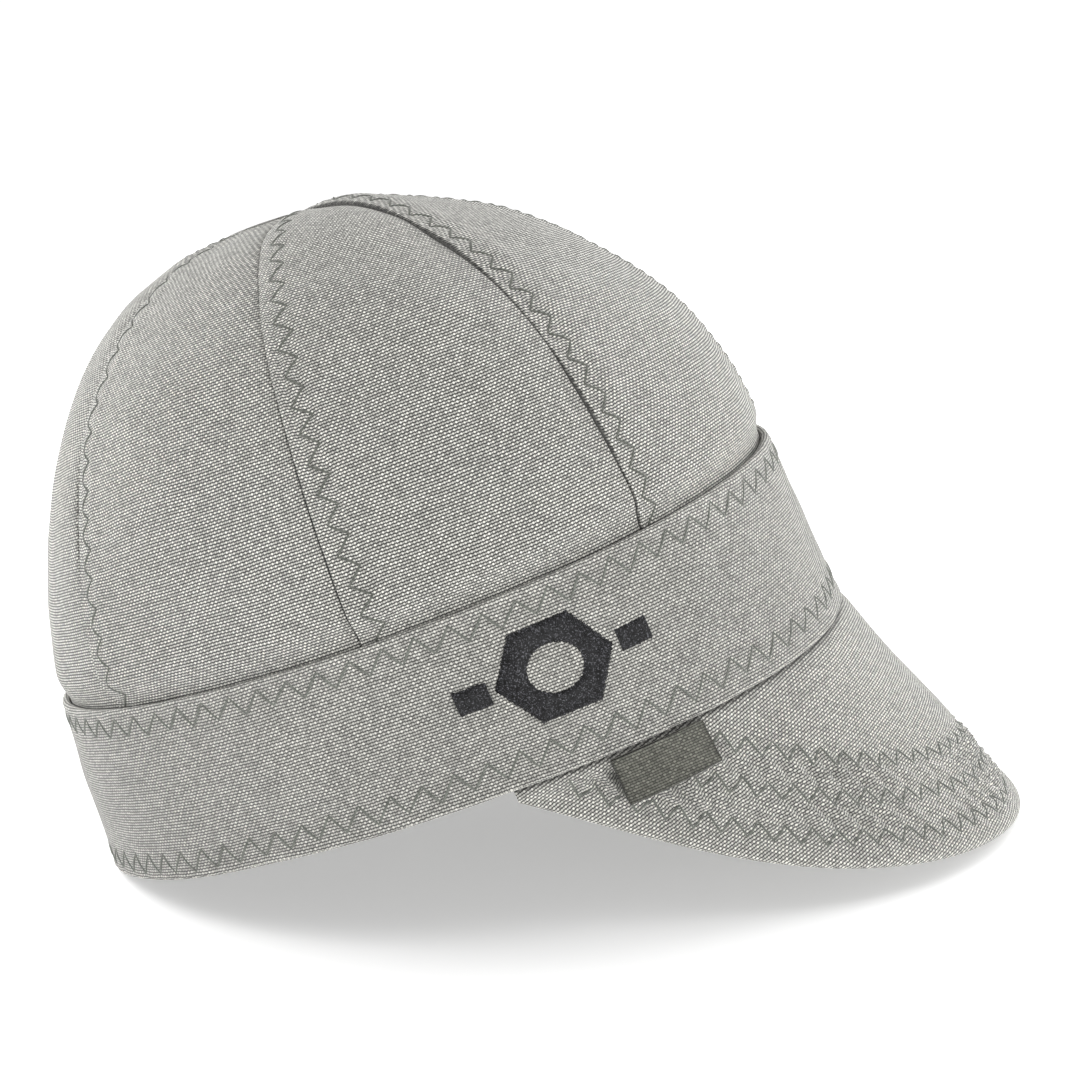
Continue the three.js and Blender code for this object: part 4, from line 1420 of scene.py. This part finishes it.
@dataclass
class Emblem:
    """A satin-stitched hexagon nut between two short bars, on the band's right side."""

    width: float = 47 * MM
    nut: float = 29 * MM
    hole: float = 13 * MM
    bar: float = 6.5 * MM
    bar_gap: float = 1.5 * MM
    angle: float = math.radians(-70.4)
    rise: float = 27.6 * MM
    padding: float = 0.55 * MM
    padding_root: float = 0.2 * MM
    strand_radius: float = 0.26 * MM
    strand_step: float = 0.36 * MM
    strand_rise: float = 0.12 * MM
    strand_sink: float = 0.25 * MM
    unevenness: float = 0.35 * MM

    def over_band(self, along: Points, rise: Points, lift: Points) -> tuple[Points, Points]:
        """Points over the band from the emblem's middle, and their normals."""
        share = (self.rise + rise) / FORM.band_height
        angle = FORM.along(FORM.band, self.angle, along, share)
        normals = FORM.normal(FORM.band, angle, share)
        return FORM.band(angle, share) + normals * np.asarray(lift)[..., None], normals

    def build(self) -> None:
        """Builds the padding and the satin stitches of the nut and of both bars."""
        tree = SatinTree.make()
        strand = self._strand()
        turn = np.linspace(0, 2 * np.pi, 145)
        from_flat = turn % (np.pi / 3) - np.pi / 6
        rim = self.nut / 2 * math.cos(math.pi / 6) / np.cos(from_flat)
        hole = np.full_like(rim, self.hole / 2)
        directions = np.stack([np.cos(turn), np.sin(turn)], -1)
        self._shape("nut", directions * hole[:, None], directions * rim[:, None], tree, strand, 91)
        inner, outer = self.nut / 2 + self.bar_gap, self.width / 2
        for label, low, high, seed in (("bar_front", inner, outer, 92), ("bar_back", -outer, -inner, 93)):
            along = np.linspace(low, high, 20)
            starts = np.stack([along, np.full_like(along, self.bar / 2)], -1)
            ends = np.stack([along, np.full_like(along, -self.bar / 2)], -1)
            self._shape(label, starts, ends, tree, strand, seed)
        bpy.data.objects.remove(strand)

    def _shape(self, label: str, starts: Points, ends: Points, tree: bpy.types.NodeTree,
               strand: bpy.types.Object, seed: int) -> None:
        """One shape: padding between two matching lines, and stitches across it.

        Args:
            label: the shape's name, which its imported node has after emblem_.
            starts: where the stitches start, as distances along and up the band.
            ends: where they end.
            tree: the satin tree.
            strand: the strand that it repeats.
            seed: for the stitches' unevenness.
        """
        shares = np.linspace(0.04, 0.96, 11)
        grid = blend(starts[:, None], ends[:, None], shares[None, :, None])
        mound = FORM.seam_gap + self.padding * np.sin(np.pi * shares) ** 0.5
        top, _ = self.over_band(grid[..., 0], grid[..., 1], np.broadcast_to(mound, grid.shape[:2]))
        low, _ = self.over_band(grid[..., 0], grid[..., 1], np.full(grid.shape[:2], -self.padding_root))
        loops = np.concatenate([top, low[:, ::-1]], 1)
        wall = Cloth(loops, run_length(starts))
        dress(wall.mesh(f"{label}_padding"), Finish.SATIN, "emblem_" + label)
        mid = (starts + ends) / 2
        gap = np.full(len(mid), FORM.seam_gap)
        centre, up = self.over_band(mid[:, 0], mid[:, 1], gap + self.padding_root)
        head, _ = self.over_band(ends[:, 0], ends[:, 1], gap)
        tail, _ = self.over_band(starts[:, 0], starts[:, 1], gap)
        guide = bpy.data.meshes.new(label + "_centre_line")
        line = STANCE.stand(centre)
        guide.from_pydata(line.tolist(), [(n, n + 1) for n in range(len(line) - 1)], [])
        for name, vectors in (("side", unit(head - tail)), ("up", up)):
            layer = guide.attributes.new(name, "FLOAT_VECTOR", "POINT")
            layer.data.foreach_set("vector", STANCE.turn(vectors).reshape(-1))
        layer = guide.attributes.new("span", "FLOAT", "POINT")
        layer.data.foreach_set("value", np.linalg.norm(head - tail, axis=-1))
        values = {"Strand": strand, "Finish": material_of(Finish.SATIN), "Unevenness": self.unevenness,
                  "Strand Width": self.strand_step, "Seed": seed}
        stitches = grow(show(label + "_centre_line", guide), tree, values, label + "_stitches")
        dress(stitches, Finish.SATIN)

    def _strand(self) -> bpy.types.Object:
        """One satin strand of unit length that arches over the padding."""
        sections, sides = 9, 6
        x = np.linspace(-0.5, 0.5, sections)
        crest = self.padding + self.strand_rise
        arch = crest * np.sqrt(np.maximum(1 - (2 * x) ** 4, 0)) - self.strand_sink
        turn = np.arange(sides) * 2 * np.pi / sides
        ring = np.stack([np.zeros(sides), np.cos(turn), np.sin(turn)], -1) * self.strand_radius
        points = ring[None] + np.stack([x, np.zeros(sections), arch], -1)[:, None]
        faces = [tuple(range(sides)), tuple((sections - 1) * sides + k for k in reversed(range(sides)))]
        for start in range(0, (sections - 1) * sides, sides):
            for k in range(sides):
                low, high = start + k, start + (k + 1) % sides
                faces.append((low + sides, high + sides, high, low))
        mesh = bpy.data.meshes.new("satin_strand")
        mesh.from_pydata(points.reshape(-1, 3).tolist(), [], faces)
        mesh.shade_smooth()
        return show("satin_strand", mesh)


@dataclass(frozen=True)
class Lamp:
    """A square lamp that is turned to the cap: its place in metres and its power in watts."""

    name: str
    place: tuple[float, float, float]
    power: float
    size: float = 1.2
    aim: tuple[float, float, float] = (0, 0, 0.09)

    def hang(self) -> None:
        """Hangs the lamp."""
        data = bpy.data.lights.new(self.name, "AREA")
        data.size, data.energy = self.size, self.power
        lamp = show(self.name, data)
        lamp.location = self.place
        lamp.rotation_euler = (Vector(self.aim) - Vector(self.place)).to_track_quat("-Z", "Y").to_euler()


@dataclass(frozen=True)
class Studio:
    """The camera at the photograph's angle, a pale floor and soft light."""

    eye: tuple[float, float, float] = (0.0107249, -0.3899929, 0.1696679)
    turned: tuple[float, float, float] = (77.02255, 3.81757, 0.38588)
    lens: float = 48.32943
    sensor: float = 36.0
    sight: tuple[float, float] = (0.01, 50.0)
    lamps: tuple[Lamp, ...] = (
        Lamp("back_left_light", (-1.3, 0.75, 0.6), 21.0),
        Lamp("back_right_light", (1.3, 0.75, 0.6), 14.0),
        Lamp("front_right_light", (1.1, -1.3, 0.1), 13.0),
        Lamp("top_light", (-0.6, -0.3, 1.7), 12.5))
    floor_size: float = 60.0
    floor_grey: float = 0.9
    floor_roughness: float = 0.95
    floor_fade: tuple[float, float] = (0.25, 1.5)
    floor_glow: tuple[float, float] = (0.35, 1.0)
    glow_towards: tuple[float, float, float] = (0.574, 0.819, 0.0)
    glow_spread: tuple[float, float] = (-1.0, 0.9)
    glow: tuple[float, float] = (0.10, 0.85)
    horizon: tuple[float, float] = (0.2, 0.36)
    horizon_glow: float = 1.05

    def place_camera(self) -> None:
        """Stands the camera."""
        data = bpy.data.cameras.new("camera")
        data.lens, data.sensor_width, data.sensor_fit = self.lens, self.sensor, "HORIZONTAL"
        data.clip_start, data.clip_end = self.sight
        camera = show("camera", data)
        turn = Matrix.Identity(4)
        for degrees, axis in zip(self.turned, "XYZ"):
            turn = Matrix.Rotation(math.radians(degrees), 4, axis) @ turn
        camera.matrix_world = Matrix.Translation(self.eye) @ turn
        bpy.context.scene.camera = camera

    def lay_floor(self) -> None:
        """Lays a floor of pale paper that glows more the farther it is from the cap."""
        half = self.floor_size / 2
        mesh = bpy.data.meshes.new("floor")
        corners = [(-half, -half, 0), (half, -half, 0), (half, half, 0), (-half, half, 0)]
        mesh.from_pydata(corners, [], [(0, 1, 2, 3)])
        paper, w = blank_material("floor_paper")
        place = w.node("ShaderNodeTexCoord").outputs["Object"]
        away = w.node("ShaderNodeVectorMath", {0: place}, operation="LENGTH").outputs["Value"]
        surface = w.node("ShaderNodeBsdfPrincipled", {
            "Base Color": (self.floor_grey, self.floor_grey, self.floor_grey, 1),
            "Roughness": self.floor_roughness, "Emission Color": (1, 1, 1, 1),
            "Emission Strength": w.ramp(away, *self.floor_fade, *self.floor_glow)})
        w.node("ShaderNodeOutputMaterial", {0: surface.outputs[0]})
        mesh.materials.append(paper)
        show("floor", mesh)

    def light(self) -> None:
        """Hangs the lamps and sets the pale surroundings, which are brightest behind the cap."""
        for lamp in self.lamps:
            lamp.hang()
        world = bpy.data.worlds.new("surroundings")
        world.use_nodes = True
        world.node_tree.nodes.clear()
        w = Wiring(world.node_tree)
        heading = w.node("ShaderNodeTexCoord").outputs["Generated"]
        towards = w.node("ShaderNodeVectorMath", {0: heading, 1: self.glow_towards},
                         operation="DOT_PRODUCT").outputs["Value"]
        sides = w.ramp(towards, *self.glow_spread, *self.glow)
        height = w.node("ShaderNodeSeparateXYZ", {0: heading}).outputs[2]
        strength = w.math("MAXIMUM", sides, w.ramp(height, *self.horizon, self.horizon_glow, 0.0))
        background = w.node("ShaderNodeBackground", {"Color": (1, 1, 1, 1), "Strength": strength})
        w.node("ShaderNodeOutputWorld", {0: background.outputs[0]})
        bpy.context.scene.world = world
        bpy.context.scene.view_settings.view_transform = "Standard"


def main() -> None:
    """Builds the cap and its studio."""
    logging.basicConfig(level=logging.INFO, format="%(name)s: %(message)s")
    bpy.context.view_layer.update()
    studio = Studio()
    studio.place_camera()
    seamstress = Seamstress()
    brim = Brim()
    Crown().build(seamstress)
    Band().build(seamstress)
    brim.build(seamstress)
    SideLabel().build(brim)
    Emblem().build()
    studio.lay_floor()
    studio.light()


if __name__ == "__main__":
    main()
